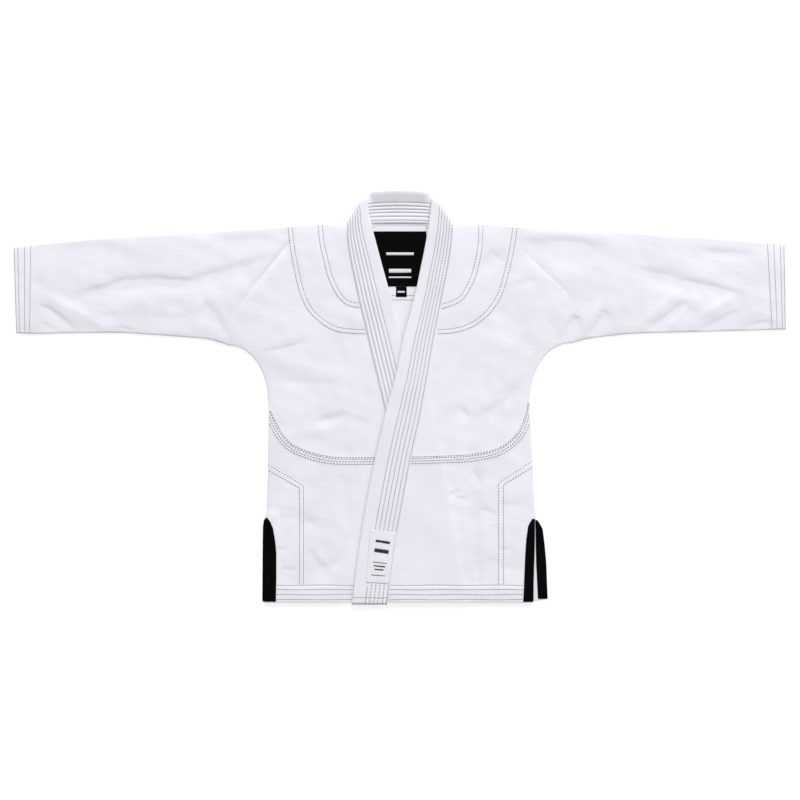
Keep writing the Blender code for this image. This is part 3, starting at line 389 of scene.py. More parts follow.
# The edges of the shoulder and hip reinforcements, and every stitched line on the fronts.
YOKE_OUTER = {
    "right": ((-174.1, 265), (-169.4, 226.2), (-163.2, 193.5), (-155.4, 162.4), (-143, 136),
              (-124.4, 117.4), (-104.1, 104.9), (-82.4, 100.3), (-51.3, 98.7)),
    "left": ((181.9, 263.5), (176.5, 228), (169, 195), (158.5, 160), (143.5, 135.5),
             (125.9, 118.5), (108, 107.5), (85, 101), (59.1, 98.7)),
}
YOKE_INNER = {
    "right": ((-127.5, 269.7), (-124.4, 240), (-119.6, 219), (-111.6, 187), (-99.6, 161.5),
              (-87.7, 147.6), (-75.7, 141.6), (-59.1, 139.3)),
    "left": ((129, 269.7), (127.5, 233.9), (121.2, 201.3), (111.9, 174.9), (94.8, 150),
             (65.3, 138)),
}
HIP_OUTER = {
    "right": ((-204.4, -104.9), (-150, -136.8), (-150, -289.9)),
    "left": ((204.7, -99.8), (152.8, -133.4), (152.8, -289.9)),
}
HIP_INNER = {
    "right": ((-203.6, -114.2), (-156.2, -140.7), (-156.2, -289.9)),
    "left": ((204.7, -108.8), (160.6, -136), (160.6, -289.9)),
}
PAIR = 6.6                # between the two rows of a pair
SEAM_ROWS = (5.1, 2.8, -1.3, -5.2)
HEM_ROWS = (-291.5, -298.3, -306.1, -313.8)
CUFF_ROWS = {"right": (574.4, 583.1, 592.4, 597.6), "left": (574.0, 583.0, 592.2, 597.2)}
INSIDE_ROWS = (158.5, 151.6)
COLLAR_END_ROWS = (-0.3117, -0.3202)
SEAM_CLOSE = 0.45         # the seam's upper rows draw this share closer at the side
SHOULDER_X, SHOULDER_Y = (0.085, 0.265), (0.2700, 0.2580)  # rows end below this line
FRONT_STEP, BACK_STEP = 0.0012, 0.003     # between the points of a row
STRAY, UNEVEN = 0.00008, 0.05             # of single stitches: aside, and in thickness
SATIN_SPACING = 0.00048
SATIN_RADIUS = 0.00034
PHOTO_WIDTH = 1.24352     # metres across the picture
PHOTO_SHIFT_Y = -0.003886  # the picture's middle lies this far from the origin
SENSOR = 36
FILL_SHARE = 0.036        # of the key light's power
WAVE_PERIOD = 0.314159    # of the wave texture at scale 1
THREAD_SHARES = np.array((0.0, 0.22, 0.78, 1.0))
THREAD_RISE = np.array((-0.6, 0.35, 0.35, -0.6))
THREAD_GIRTH = np.array((0.5, 1.0, 1.0, 0.5))
THREAD_SIDES = 6
UP = np.array((0.0, 0.0, 1.0))


def clamp(value):
    return np.minimum(np.maximum(value, 0.0), 1.0)


def mix(a, b, share):
    return a + (b - a) * share


def ease(value):
    """0 below 0, 1 above 1, smooth between."""
    value = clamp(value)
    return value * value * (3 - 2 * value)


def smooth_path(points, parts=6):
    """A smooth curve through a few points, whatever their number of columns."""
    points = np.asarray(points, float)
    ends = np.vstack([points[:1], points, points[-1:]])
    t = (np.arange(parts) / parts)[:, None]
    path = []
    for a, b, c, d in zip(ends, ends[1:], ends[2:], ends[3:]):
        path.append(0.5 * (2 * b + (c - a) * t + (2 * a - 5 * b + 4 * c - d) * t * t
                           + (3 * b - a - 3 * c + d) * t ** 3))
    return np.vstack(path + [points[-1:]])


class Path:
    """A path read by its share of length in plan. Columns after x and y come along."""

    def __init__(self, points):
        self.points = np.asarray(points, float)
        steps = np.hypot(np.diff(self.points[:, 0]), np.diff(self.points[:, 1]))
        self.reach = np.concatenate([[0.0], np.cumsum(steps)])
        self.length = self.reach[-1]

    def at(self, share):
        reach = np.asarray(share, float) * self.length
        return np.stack([np.interp(reach, self.reach, column)
                         for column in self.points.T], axis=-1)

    def pair(self, y, share):
        """Makes a height on a rising path fall at a share of it."""
        reach = np.interp(y, self.points[:, 1], self.reach)
        self.reach = np.interp(self.reach, (0, reach, self.length),
                               (0, share * self.length, self.length))

    def shifted(self, distance):
        """The same path moved to its left by a distance."""
        along = np.gradient(self.points[:, :2], axis=0)
        along /= np.hypot(along[:, 0], along[:, 1])[:, None]
        moved = self.points.copy()
        moved[:, 0] -= along[:, 1] * distance
        moved[:, 1] += along[:, 0] * distance
        return Path(moved)


def joined(*parts):
    return Path(np.vstack(parts))


def distance_to(points, x, y):
    """Distance to a path, and the share of its parts passed at the nearest point."""
    best, share = np.full(x.shape, 1e9), np.zeros(x.shape)
    parts = len(points) - 1
    for i in range(parts):
        ax, ay = points[i][:2]
        dx, dy = points[i + 1][0] - ax, points[i + 1][1] - ay
        along = clamp(((x - ax) * dx + (y - ay) * dy) / (dx * dx + dy * dy))
        distance = np.hypot(x - ax - along * dx, y - ay - along * dy)
        nearer = distance < best
        best = np.where(nearer, distance, best)
        share = np.where(nearer, (i + along) / parts, share)
    return best, share


def inside(points, x, y):
    """Whether each point of a field is inside a closed polygon."""
    result = np.zeros(x.shape, bool)
    for (ax, ay), (bx, by) in zip(points, np.roll(points, -1, axis=0)):
        if ay == by:
            continue
        crosses = ((ay > y) != (by > y)) & (x < (bx - ax) * (y - ay) / (by - ay) + ax)
        result ^= crosses
    return result


def waves(x, y, wave):
    """A random soft field with bumps of about the wave's height and length."""
    draw = np.random.default_rng(wave.seed)
    total = np.zeros(np.shape(x))
    for _ in range(WAVE_COUNT):
        angle, phase = draw.uniform(0, 2 * math.pi, 2)
        k = 2 * math.pi / (wave.length * draw.uniform(0.7, 1.5))
        total = total + np.sin(k * (x * math.cos(angle) + y * math.sin(angle)) + phase)
    return wave.height * (total * math.sqrt(2 / WAVE_COUNT))


def side_curve(side, steps=24):
    """The underarm, from the waist up to the armhole seam: a quarter of an ellipse."""
    curve, sign = UNDERARM[side], SIGN[side]
    rise = np.sin(0.5 * math.pi * np.arange(steps + 1) / steps)
    out = 1 - np.sqrt(1 - rise * rise)
    return np.stack([curve.waist_x + (sign * ARM_X - curve.waist_x) * out,
                     mix(curve.waist_y, curve.arm_y, rise)], axis=-1)


def in_metres(rows):
    return np.asarray(rows, float)[:, :2] * MM


def outlines():
    """The folded edges of both sides: shoulder and sleeve, underside of the sleeve and side."""
    paths = []
    for side in SIDES:
        bottom = smooth_path(in_metres(SLEEVE_BOTTOM[side]), 3)
        paths.append(smooth_path(in_metres(SLEEVE_TOP[side]), 4))
        paths.append(np.vstack([bottom[::-1], side_curve(side, 12)[::-1][1:],
                                in_metres(FRONT_SIDE[side])[1:]]))
    return paths


OUTLINES = outlines()


def edge_distance(x, y):
    return np.minimum.reduce([distance_to(path, x, y)[0] for path in OUTLINES])


def crease_path(crease):
    """The bent path of a crease through its three points, drawn on its shaded slope."""
    t = (np.arange(CREASE_PARTS + 1) / CREASE_PARTS)[:, None]
    ends = np.array([crease[0:2], crease[2:4], crease[4:6]]) * MM
    along = (ends[2] - ends[0]) / np.hypot(*(ends[2] - ends[0]))
    aside = np.array((-along[1], along[0]))
    ends = ends - aside * (aside @ SHADE_FROM) * SLOPE_AT * crease.half_width * MM
    return (1 - t) * (1 - 2 * t) * ends[0] + 4 * t * (1 - t) * ends[1] + t * (2 * t - 1) * ends[2]


CREASE_PATHS = [(crease_path(c), CREASE_REACH * c.half_width * MM,
                 (RIDGE_SHARE if c.height > 0 else TROUGH_SHARE) * c.height * MM, c.crisp)
                for c in CREASES]


def beside(path, share, x, y):
    """From each point's nearest place on a path to the point."""
    parts = np.linspace(0, 1, len(path))
    return np.stack([x - np.interp(share, parts, path[:, 0]),
                     y - np.interp(share, parts, path[:, 1])], axis=-1)


def armhole_fold(x, y):
    """The sleeve's cloth dips gently towards the armhole and rises sharply on the body's side."""
    total = np.zeros(x.shape)
    for points in ARMHOLE_FOLDS:
        path = smooth_path(np.array(points) * MM, 4)
        distance, share = distance_to(path, x, y)
        depth = np.interp(share, np.linspace(0, 1, len(path)), path[:, 2])
        body = beside(path, share, x, y)[..., 1] < 0
        reach = np.where(body, ARMHOLE_DIP_BODY, ARMHOLE_DIP_SLEEVE)
        total += depth * (ARMHOLE_ROLL * np.exp(-(distance / ARMHOLE_ROLL_REACH) ** 2)
                          - ARMHOLE_DIP * np.exp(-distance / reach))
    return total


def relief(x, y, depth=1.0):
    """Height that the creases add or take away."""
    total = np.zeros(x.shape)
    for path, half_width, height, crisp in CREASE_PATHS:
        reach = (RIDGE_BOX if height > 0 else TROUGH_BOX) * half_width
        low, high = path.min(axis=0) - reach, path.max(axis=0) + reach
        near = (x > low[0]) & (x < high[0]) & (y > low[1]) & (y < high[1])
        if not near.any():
            continue
        distance, share = distance_to(path, x[near], y[near])
        if height < 0:         # a trough is steep on its shaded side and gentle on the other
            shaded = beside(path, share, x[near], y[near]) @ SHADE_FROM / (distance + 1e-6)
            distance = distance * mix(STEEP, 1.0, ease(0.5 + 0.7 * shaded))
        taper = np.sqrt(clamp(4 * share * (1 - share) + 0.03))
        soft = np.exp(-(distance / half_width) ** 2)
        sharp = np.exp(-distance / (SHARP * half_width))
        total[near] += height * taper * mix(soft, sharp, crisp)
    total += armhole_fold(x, y)
    for wave in SLACK:
        total += waves(x, y, wave)
    return total * depth


def lift(x, y):
    """How far the upper layer stands off what it lies on."""
    near = edge_distance(x, y)
    height = PUFF * (1 - np.exp(-near / PUFF_REACH))
    height = height + relief(x, y, LOOK["depth"]) * (1 - np.exp(-near / CREASE_CALM))
    height = 0.5 * (height + np.sqrt(height * height + LIFT_LEAST ** 2))
    return LIFT_MOST * np.tanh(height / LIFT_MOST)


def lapel_value(side, key, column, y):
    pairs = sorted((getattr(row, key), getattr(row, column)) for row in LAPEL[side])
    keys, values = np.array(pairs).T * MM
    return np.interp(y, keys, values)


def lapel_x(side, edge, y):
    return lapel_value(side, edge + "_y", edge + "_x", y)


def collar_nominal(side, y):
    """Thickness of the lapel; the right one is pressed where the left front covers it."""
    if side == "left":
        return np.full(np.shape(y), COLLAR_THICK)
    return mix(COLLAR_PRESSED, COLLAR_THICK, ease((y + 0.050) / 0.030))


def raise_to_lapel(side, x, y, height):
    """A front rises to the lapel that is sewn to its edge."""
    sewn_low = lapel_value(side, "sewn_y", "low_sewn", y)
    away = np.abs(x - lapel_x(side, "sewn", y))
    share = np.exp(-away / RISE_REACH) * (1 - np.exp(-edge_distance(x, y) / 0.010))
    return height + np.maximum(0.0, sewn_low + LAPEL_RISE - height) * share


def uncovered(x, y):
    """1 where the right front shows, 0 where the left front lies on it."""
    return 1 - ease((x - lapel_x("left", "free", y) + UNDER_FROM) / UNDER_REACH)


def close_edge(x, y):
    """The upper layer meets the lower one along folded edges."""
    return CLOSE * np.exp(-edge_distance(x, y) / CLOSE_REACH)


def right_front_low(x, y):
    """Underside of the right front, and of the right sleeve's upper wall."""
    height = FRONT_LOW + lift(x, y) * uncovered(x, y)
    vent = ease((VENT_TOP_Y - y) / VENT_REACH) * ease((VENT_X - x) / VENT_REACH)
    return raise_to_lapel("right", x, y, height) + VENT_LIFT * vent - close_edge(x, y)


def left_front_low(x, y):
    """Underside of the left front: over the back, the right front or the right lapel."""
    sewn, free = lapel_x("right", "sewn", y), lapel_x("right", "free", y)
    over_front = 1 - ease((x - free) / 0.030)
    base = mix(FRONT_LOW, FRONT_LOW + WALL + GAP, over_front)
    outside = np.maximum(np.maximum(sewn - x, x - free), 0.0)
    on_lapel = 1 - ease((outside - BAND_MARGIN) / BAND_DROP)
    lapel_top = FRONT_LOW + collar_nominal("right", y - 0.010) + GAP
    share = np.where(y < 0.030, on_lapel, 0.0)
    base = mix(base, np.maximum(lapel_top, base), share)
    height = base + lift(x, y) * (1 - BAND_CALM * on_lapel)
    return raise_to_lapel("left", x, y, height) - close_edge(x, y)


FRONT_LOWS = {"left": left_front_low, "right": right_front_low}


def rounded(distance, reach, pinch):
    """Share of a wall left near a rounded edge."""
    near = 1 - clamp(distance / reach)
    return np.sqrt(1 - pinch * near * near)


def edge_share(x, y):
    return rounded(edge_distance(x, y), FOLD_ROUND, FOLD_PINCH)


def seam_path(side):
    return Path(smooth_path(in_metres(CURVED_SEAM[side]), 8))


def armhole(side):
    """Plan ends of the armhole seam: underarm and shoulder."""
    sign = SIGN[side]
    near, far = in_metres(SLEEVE_TOP[side])[:2]
    share = (sign * SEAM_X - near[0]) / (far[0] - near[0])
    return (np.array([sign * ARM_X, UNDERARM[side].arm_y]),
            np.array([sign * SEAM_X, mix(near[1], far[1], share)]))


def row_pairs(side):
    """The two rows along each reinforcement's edge: outer yoke, inner yoke, hip."""
    pairs = []
    for table in (YOKE_OUTER, YOKE_INNER):
        path = Path(smooth_path(in_metres(table[side]), 6))
        pairs.append((path, path.shifted(-SIGN[side] * PAIR * MM)))
    pairs.append((Path(in_metres(HIP_OUTER[side])), Path(in_metres(HIP_INNER[side]))))
    return pairs


def patch_step(x, y, line, corners):
    """0 outside a reinforcement, 1 on it, with a soft edge."""
    shape = np.vstack([line.points, np.array(corners) * MM])
    distance = distance_to(line.points, x, y)[0]
    signed = np.where(inside(shape, x, y), distance, -distance)
    return ease(0.5 + signed / PATCH_EDGE)


def dressing(side, x, y):
    """Thickness that hems, cuffs, seams and reinforcements add to the upper wall."""
    sign = SIGN[side]
    turned = np.maximum(HEM_TOP - y, np.abs(x) - CUFF_X)
    extra = HEM_EXTRA * ease(turned / STEP)
    band = distance_to(seam_path(side).points, x, y)[0]
    extra = extra + SEAM_EXTRA * np.exp(-(band / SEAM_BAND) ** 4)
    outer_yoke, inner_yoke, hip = row_pairs(side)
    neck = (sign * 40, 150), (sign * 40, 300), (sign * 180, 300)
    extra = extra + YOKE_EXTRA * patch_step(x, y, outer_yoke[0], ((sign * 30, 98.7), *neck))
    extra = extra + YOKE_EXTRA * patch_step(x, y, inner_yoke[0], ((sign * 30, 139), *neck))
    corner = (sign * 150, -340), (sign * 230, -340), (sign * 230, -100)
    extra = extra + PATCH_EXTRA * patch_step(x, y, hip[0], corner)
    for first, second in (outer_yoke, inner_yoke, hip):
        share = np.linspace(0, 1, 40)
        welt = distance_to(0.5 * (first.at(share) + second.at(share)), x, y)[0]
        extra = extra + WELT * np.exp(-(welt / WELT_REACH) ** 2)
        extra = extra - DENT * np.exp(-(welt / DENT_REACH) ** 4)
    return extra * (uncovered(x, y) if side == "right" else 1.0)


def front_top(side, x, y):
    return FRONT_LOWS[side](x, y) + WALL * edge_share(x, y) + dressing(side, x, y)


def shares(length, spacing, near=False, far=False, through=()):
    """Even shares of a length, with closer ones at rounded rims and some exact ones."""
    rim = np.array((0.0, 0.0004, 0.0009, 0.0014, 0.0020)) / length
    exact = [0.0, 1.0] + list(through)
    exact += list(rim) if near else []
    exact += list(1 - rim) if far else []
    plain = np.linspace(0, 1, max(2, round(length / spacing)) + 1)
    kept = [p for p in plain if min(abs(p - e) for e in exact) > 0.35 * spacing / length]
    return np.array(sorted(set(kept + exact)))


def coons(bottom, top, left, right, across, up, fade=1):
    """Plan points inside four paths, as (up, across, 2); fade > 1 keeps the bends of the
    bottom and top paths close to them."""
    u, v = across[None, :, None], up[:, None, None]
    sides = mix(left.at(up)[:, None], right.at(up)[:, None], u)
    low, high = (path.at(across)[None] - mix(path.at(0), path.at(1), u)
                 for path in (bottom, top))
    return sides + (1 - v) ** fade * low + v ** fade * high


def wall(name, outer, inner, material, wrap=False, sharp=50):
    """One closed wall between two grids of 3-D points; with wrap each row is a ring."""
    rows, columns = outer.shape[:2]
    second = rows * columns
    points = np.vstack([outer.reshape(-1, 3), inner.reshape(-1, 3)])
    i, j = np.meshgrid(np.arange(rows - 1), np.arange(columns if wrap else columns - 1),
                       indexing="ij")
    i, j = i.ravel(), j.ravel()
    k = (j + 1) % columns
    a, b, c, d = i * columns + j, i * columns + k, (i + 1) * columns + k, (i + 1) * columns + j
    faces = [np.stack([a, b, c, d], 1), np.stack([a, d, c, b], 1) + second]

    def rim(first, last, turn):
        """Faces that join both grids between neighbouring points of an edge."""
        faces.append(np.stack([first, first + second, last + second, last], 1)[:, ::turn])

    j = np.arange(columns if wrap else columns - 1)
    for row, turn in ((0, 1), (rows - 1, -1)):
        rim(row * columns + j, row * columns + (j + 1) % columns, turn)
    if not wrap:
        i = np.arange(rows - 1) * columns
        rim(i, i + columns, -1)
        rim(i + columns - 1, i + 2 * columns - 1, 1)
    return make_mesh(name, points, np.vstack(faces).tolist(), material, sharp, True)


def make_mesh(name, points, faces, material, sharp, recalculate=False):
    mesh = bpy.data.meshes.new(name)
    mesh.from_pydata(points.tolist(), [], faces)
    if recalculate:
        shape = bmesh.new()
        shape.from_mesh(mesh)
        bmesh.ops.recalc_face_normals(shape, faces=shape.faces)
        shape.to_mesh(mesh)
        shape.free()
    mesh.shade_smooth()
    if sharp:
        mesh.set_sharp_from_angle(angle=math.radians(sharp))
    piece = bpy.data.objects.new(name, mesh)
    mesh.materials.append(material)
    bpy.context.scene.collection.objects.link(piece)
    return piece


def rim_share(distance):
    return rounded(distance, RIM_ROUND, RIM_PINCH)


def squeeze(under, top, share):
    """Both faces of a wall, drawn in towards its middle."""
    half = 0.5 * (top - under) * (1 - share)
    return under + half, top - half


def with_height(plan, height):
    return np.concatenate([plan, height[..., None]], axis=-1)


def dress(piece, node):
    """Rides on the body and stands for its solid."""
    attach(piece, "root")
    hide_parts(node)
    return piece


def panel(node, plan, under, top, rim, material):
    """A panel of cloth on a plan grid, drawn in at its rims."""
    under, top = squeeze(under, top, rim)
    piece = wall("cloth_" + node, with_height(plan, top), with_height(plan, under), material)
    return dress(piece, node)


def side_path(table, side, low_y, high_y):
    """The side seam between two heights, bottom to top."""
    curve = in_metres(table[side])
    curve = curve[curve[:, 1] < UNDERARM[side].waist_y]
    points = np.vstack([curve[::-1], side_curve(side)])
    ends = [[np.interp(y, points[:, 1], points[:, 0]), y] for y in (low_y, high_y)]
    kept = points[(points[:, 1] > low_y) & (points[:, 1] < high_y)]
    return np.vstack([ends[0], kept, ends[1]])


def upper_side(table, side, seam_y):
    """Outer boundary of an upper panel: side seam, underarm and armhole seam."""
    arm_low, arm_top = armhole(side)
    inset = 0.56 * SEAM_GAP * -SIGN[side]
    share = np.linspace(0, 1, 13)[:, None]
    seam = mix(arm_low, arm_top, share) + (inset, 0)
    return np.vstack([side_path(table, side, seam_y, arm_low[1])[:-1], seam])


def lapel_rows(side, count):
    """The lapel's table read at even steps down its sewn edge, in metres."""
    return Path(smooth_path(np.array(LAPEL[side]) * MM, 12)).at(np.linspace(0, 1, count + 1))


def sewn_edge(side, low_y, high_y):
    """A front's edge along the collar, bottom to top, just clear of it."""
    edge = lapel_rows(side, 140)[::-1, :2]
    clear = 0.00012 * SIGN[side]
    kept = edge[(edge[:, 1] > low_y + 0.001) & (edge[:, 1] < high_y - 0.001)]
    ends = [[np.interp(y, edge[:, 1], edge[:, 0]), y] for y in (low_y, high_y)]
    return np.vstack([ends[0], kept, ends[1]]) + (clear, 0)


def neck_notch(side):
    return np.array([(SIGN[side] * x, y) for x, y in NECK_NOTCH]) * MM


def seam_end(side):
    """x where the curved seam meets the collar."""
    return sewn_edge(side, seam_path(side).points[-1][1], 0.0)[0][0]


def cut_at(path, x, sign):
    """A path from the side, ended where it reaches x."""
    kept = path.points[(path.points[:, 0] - x) * sign > 0.002]
    return joined(kept, [x, kept[-1][1]])


def corner_share(path, y):
    """Share of a rising path's length at which it passes a height."""
    return float(np.interp(y, path.points[:, 1], path.reach) / path.length)


def front_panel(side, part, plan, material):
    x, y = plan[..., 0], plan[..., 1]
    return panel("front_%s_%s" % (side, part), plan, FRONT_LOWS[side](x, y),
                 front_top(side, x, y), rim_share(y - HEM_Y), material)


def front_upper(side, material):
    sign = SIGN[side]
    bottom = cut_at(seam_path(side), seam_end(side), sign).shifted(0.5 * SEAM_GAP * -sign)
    notch = neck_notch(side)
    outer = joined(bottom.points[:1], upper_side(FRONT_SIDE, side, bottom.points[0][1])[1:])
    edge = sewn_edge(side, bottom.points[-1][1], notch[-1][1])
    inner = joined(edge[:-1], notch[::-1])
    top = Path([outer.points[-1], notch[0]])
    across = shares(bottom.length, LOOK["spacing"], near=True)
    underarm = corner_share(outer, UNDERARM[side].arm_y)
    inner.pair(UNDERARM[side].arm_y + 0.012, underarm)
    corners = [underarm] + list(inner.reach[-3:-1] / inner.length)
    up = shares(outer.length, LOOK["spacing"], far=True, through=corners)
    plan = coons(bottom, top, outer, inner, across, up, fade=UPPER_FADE)
    return front_panel(side, "upper", plan, material)


def front_skirt(side, material):
    sign = SIGN[side]
    top = cut_at(seam_path(side), seam_end(side), sign).shifted(0.5 * SEAM_GAP * sign)
    outer = joined(side_path(FRONT_SIDE, side, HEM_Y, top.points[0][1])[:-1], top.points[:1])
    inner = Path(sewn_edge(side, HEM_Y, top.points[-1][1]))
    bottom = Path([outer.points[0], inner.points[0]])
    across = shares(top.length, LOOK["spacing"], near=True)
    up = shares(outer.length, LOOK["spacing"], near=True)
    return front_panel(side, "skirt", coons(bottom, top, outer, inner, across, up), material)


def back_seam(offset):
    """The curved seam across the back, from the wearer's right to the left."""
    left, right = seam_path("left").points, seam_path("right").points
    whole = np.vstack([right[right[:, 0] < -0.02], left[left[:, 0] > 0.02][::-1]])
    return Path(whole).shifted(offset)


def back_panel(part, plan, rim, material):
    low = WALL * (1 - edge_share(plan[..., 0], plan[..., 1]))
    return panel("back_" + part, plan, low, np.full(low.shape, WALL), rim, material)


def back_upper(material):
    bottom = back_seam(0.5 * SEAM_GAP)
    ends = {"right": bottom.points[0], "left": bottom.points[-1]}
    sides = {side: joined(ends[side], upper_side(BACK_SIDE, side, ends[side][1])[1:])
             for side in SIDES}
    right, left = neck_notch("right"), neck_notch("left")
    top = joined(sides["right"].points[-1], right[:2], in_metres(NECKLINE), left[:2][::-1],
                 sides["left"].points[-1])
    corners = list(top.reach[1:4] / top.length) + list(top.reach[-4:-1] / top.length)
    spacing = BACK_SPACING * LOOK["spacing"]
    across = shares(top.length, spacing, near=True, far=True, through=corners)
    up = shares(sides["left"].length, spacing, far=True,
                through=[corner_share(sides[side], UNDERARM[side].arm_y) for side in SIDES])
    plan = coons(bottom, top, sides["right"], sides["left"], across, up, fade=UPPER_FADE)
    return back_panel("upper", plan, 1.0, material)


def back_skirt(material):
    top = back_seam(-0.5 * SEAM_GAP)
    right = side_path(BACK_SIDE, "right", HEM_Y, top.points[0][1])
    left = side_path(BACK_SIDE, "left", BACK_HEM_LEFT[-1][1], top.points[-1][1])
    right = joined(right[:-1], top.points[:1])
    left = joined(left[:-1], top.points[-1:])
    bottom = joined(right.points[:1], BACK_HEM_LEFT[:-1], left.points[:1])
    spacing = BACK_SPACING * LOOK["spacing"]
    across = shares(top.length, spacing, near=True, far=True)
    plan = coons(bottom, top, right, left, across, shares(right.length, spacing, near=True))
    rim = rim_share(distance_to(bottom.points, plan[..., 0], plan[..., 1])[0])
    return back_panel("skirt", plan, rim, material)


def sleeve_rings(side):
    """Outer and inner rings of a sleeve wall, from the armhole to the cuff."""
    sign = SIGN[side]
    arm_low, arm_top = armhole(side)
    clear = 0.56 * SEAM_GAP * sign
    top = smooth_path(in_metres(SLEEVE_TOP[side]), 12)
    top = joined([arm_top[0] + clear, arm_top[1]], top[np.abs(top[:, 0]) > SEAM_X + 0.002])
    bottom = smooth_path(in_metres(SLEEVE_BOTTOM[side]), 6)
    bottom = joined([arm_low[0] + clear, arm_low[1]], bottom[1:])
    stations = shares(top.length, LOOK["spacing"], far=True)
    low_end, high_end = bottom.at(stations), top.at(stations)
    width = np.hypot(*(high_end - low_end).T)
    along = (high_end - low_end) / width[:, None]
    rim = rim_share((1 - stations) * top.length)[:, None]
    turn = 0.5 * (FRONT_LOW + WALL)
    span = width - 2 * turn
    lower, upper = np.linspace(0, 1, SLEEVE_LOWER), np.linspace(1, 0, SLEEVE_UPPER)
    bends = np.linspace(-0.5, 0.5, SLEEVE_FOLD)[1:-1]

    def spread_out(reach, z):
        reach = reach + 0 * width[:, None]
        x = low_end[:, :1] + along[:, :1] * reach
        y = low_end[:, 1:] + along[:, 1:] * reach
        return np.stack([x, y, z(x, y) if callable(z) else z + 0 * x], axis=-1)

    def ring(is_outer):
        """Lower wall, fold, upper wall, fold."""
        radius = turn if is_outer else turn - WALL
        far, near = bends * math.pi, (1 + bends) * math.pi

        def upper_height(x, y):
            high = FRONT_LOWS[side](x, y)
            return high + WALL + dressing(side, x, y) if is_outer else high

        return np.concatenate([
            spread_out(turn + span[:, None] * lower, turn - radius),
            spread_out(width[:, None] - turn + radius * np.cos(far), turn + radius * np.sin(far)),
            spread_out(turn + span[:, None] * upper, upper_height),
            spread_out(turn + radius * np.cos(near), turn + radius * np.sin(near)),
        ], axis=1)

    outer, inner = squeeze(ring(True), ring(False), rim[..., None])
    cut = (round(float(2 * width[0]), 3), round(float(top.length), 3))
    area = float(((width[1:] + width[:-1]) * np.diff(stations)).sum() * bottom.length)
    return outer, inner, cut, area


def sleeve(side, material):
    outer, inner, cut, area = sleeve_rings(side)
    piece = wall("cloth_sleeve_%s" % side, outer, inner, material, wrap=True)
    return dress(piece, "sleeve_%s" % side)


def collar_profile():
    """Distances across the collar, half its thickness, and how far stitch rows sink in."""
    rim = np.array((0.0, 0.25, 0.6, 1.0))
    rows = [r + d for r in COLLAR_ROWS + NECK_INSIDE_ROWS for d in (-0.7, 0.0, 0.7)]
    plain = list(np.arange(2.0, 52.0, 1.25)) + list(rim) + list(53 - rim)
    across = np.array(sorted(set(round(v, 2) for v in plain + rows if 0 <= v <= 53)))
    across = across[np.concatenate([[True], np.diff(across) > 0.16])]
    columns = np.array(COLLAR_ACROSS)
    half = 0.5 * np.interp(across, columns[:, 0], columns[:, 1])
    half = half * rounded(np.minimum(across / 0.8, (53 - across) / 1.5), 1.0, 0.75)
    dips = []
    for rows, gap in ((COLLAR_ROWS, 6.3), (NECK_INSIDE_ROWS, 5.0)):
        dip = sum(COLLAR_DIP * np.exp(-((across - row) / ROW_REACH) ** 2) for row in rows)
        quilt = ease((rows[-1] + 1.5 - across) / 3) * COLLAR_QUILT
        dips.append(dip - quilt * np.sin(math.pi * (across - rows[0]) / gap) ** 2)
    return across * MM, half * MM, dips[0] * MM, dips[1] * MM


def collar_grid():
    """Outer and inner points of the whole collar: left lapel, fold, neck, fold, right lapel."""
    across, half, dip, neck_dip = collar_profile()
    share = across / COLLAR_WIDTH
    parts = []
    for side in SIDES:
        count = round(LAPEL_LENGTH / COLLAR_SPACING)
        rows = lapel_rows(side, count)[1:]
        thick = collar_nominal(side, rows[:, 1])[:, None]
        x = mix(rows[:, 0:1], rows[:, 2:3], share)
        y = mix(rows[:, 1:2], rows[:, 3:4], share)
        middle = mix(rows[:, 4:5], rows[:, 5:6], share) + 0.5 * thick
        scale = thick / COLLAR_THICK
        pucker = waves(x, y, PUCKER) * ease((0.036 - across) / 0.004)
        free = ease((y + 0.060) / 0.02 + (side == "left"))
        up = middle + half * scale - dip + (pucker + waves(x, y, COLLAR_SLACK)) * free
        down = middle - half * scale
        end = rim_share((1 - np.linspace(0, 1, count + 1)[1:]) * LAPEL_LENGTH)[:, None]
        down, up = squeeze(down, up, end)
        outer, inner = np.stack([x, y, up], -1), np.stack([x, y, down], -1)
        turn_outer, turn_inner = collar_turn(side, share, half, dip, neck_dip)
        outer, inner = np.vstack([turn_outer[::-1], outer]), np.vstack([turn_inner[::-1], inner])
        parts.append((outer, inner))
    neck_outer, neck_inner = neck_grid(share, half, dip, neck_dip)
    right, left = parts
    outer = np.vstack([left[0][::-1], neck_outer, right[0]])
    inner = np.vstack([left[1][::-1], neck_inner, right[1]])
    return outer, inner, across, (len(left[0]), len(neck_outer))


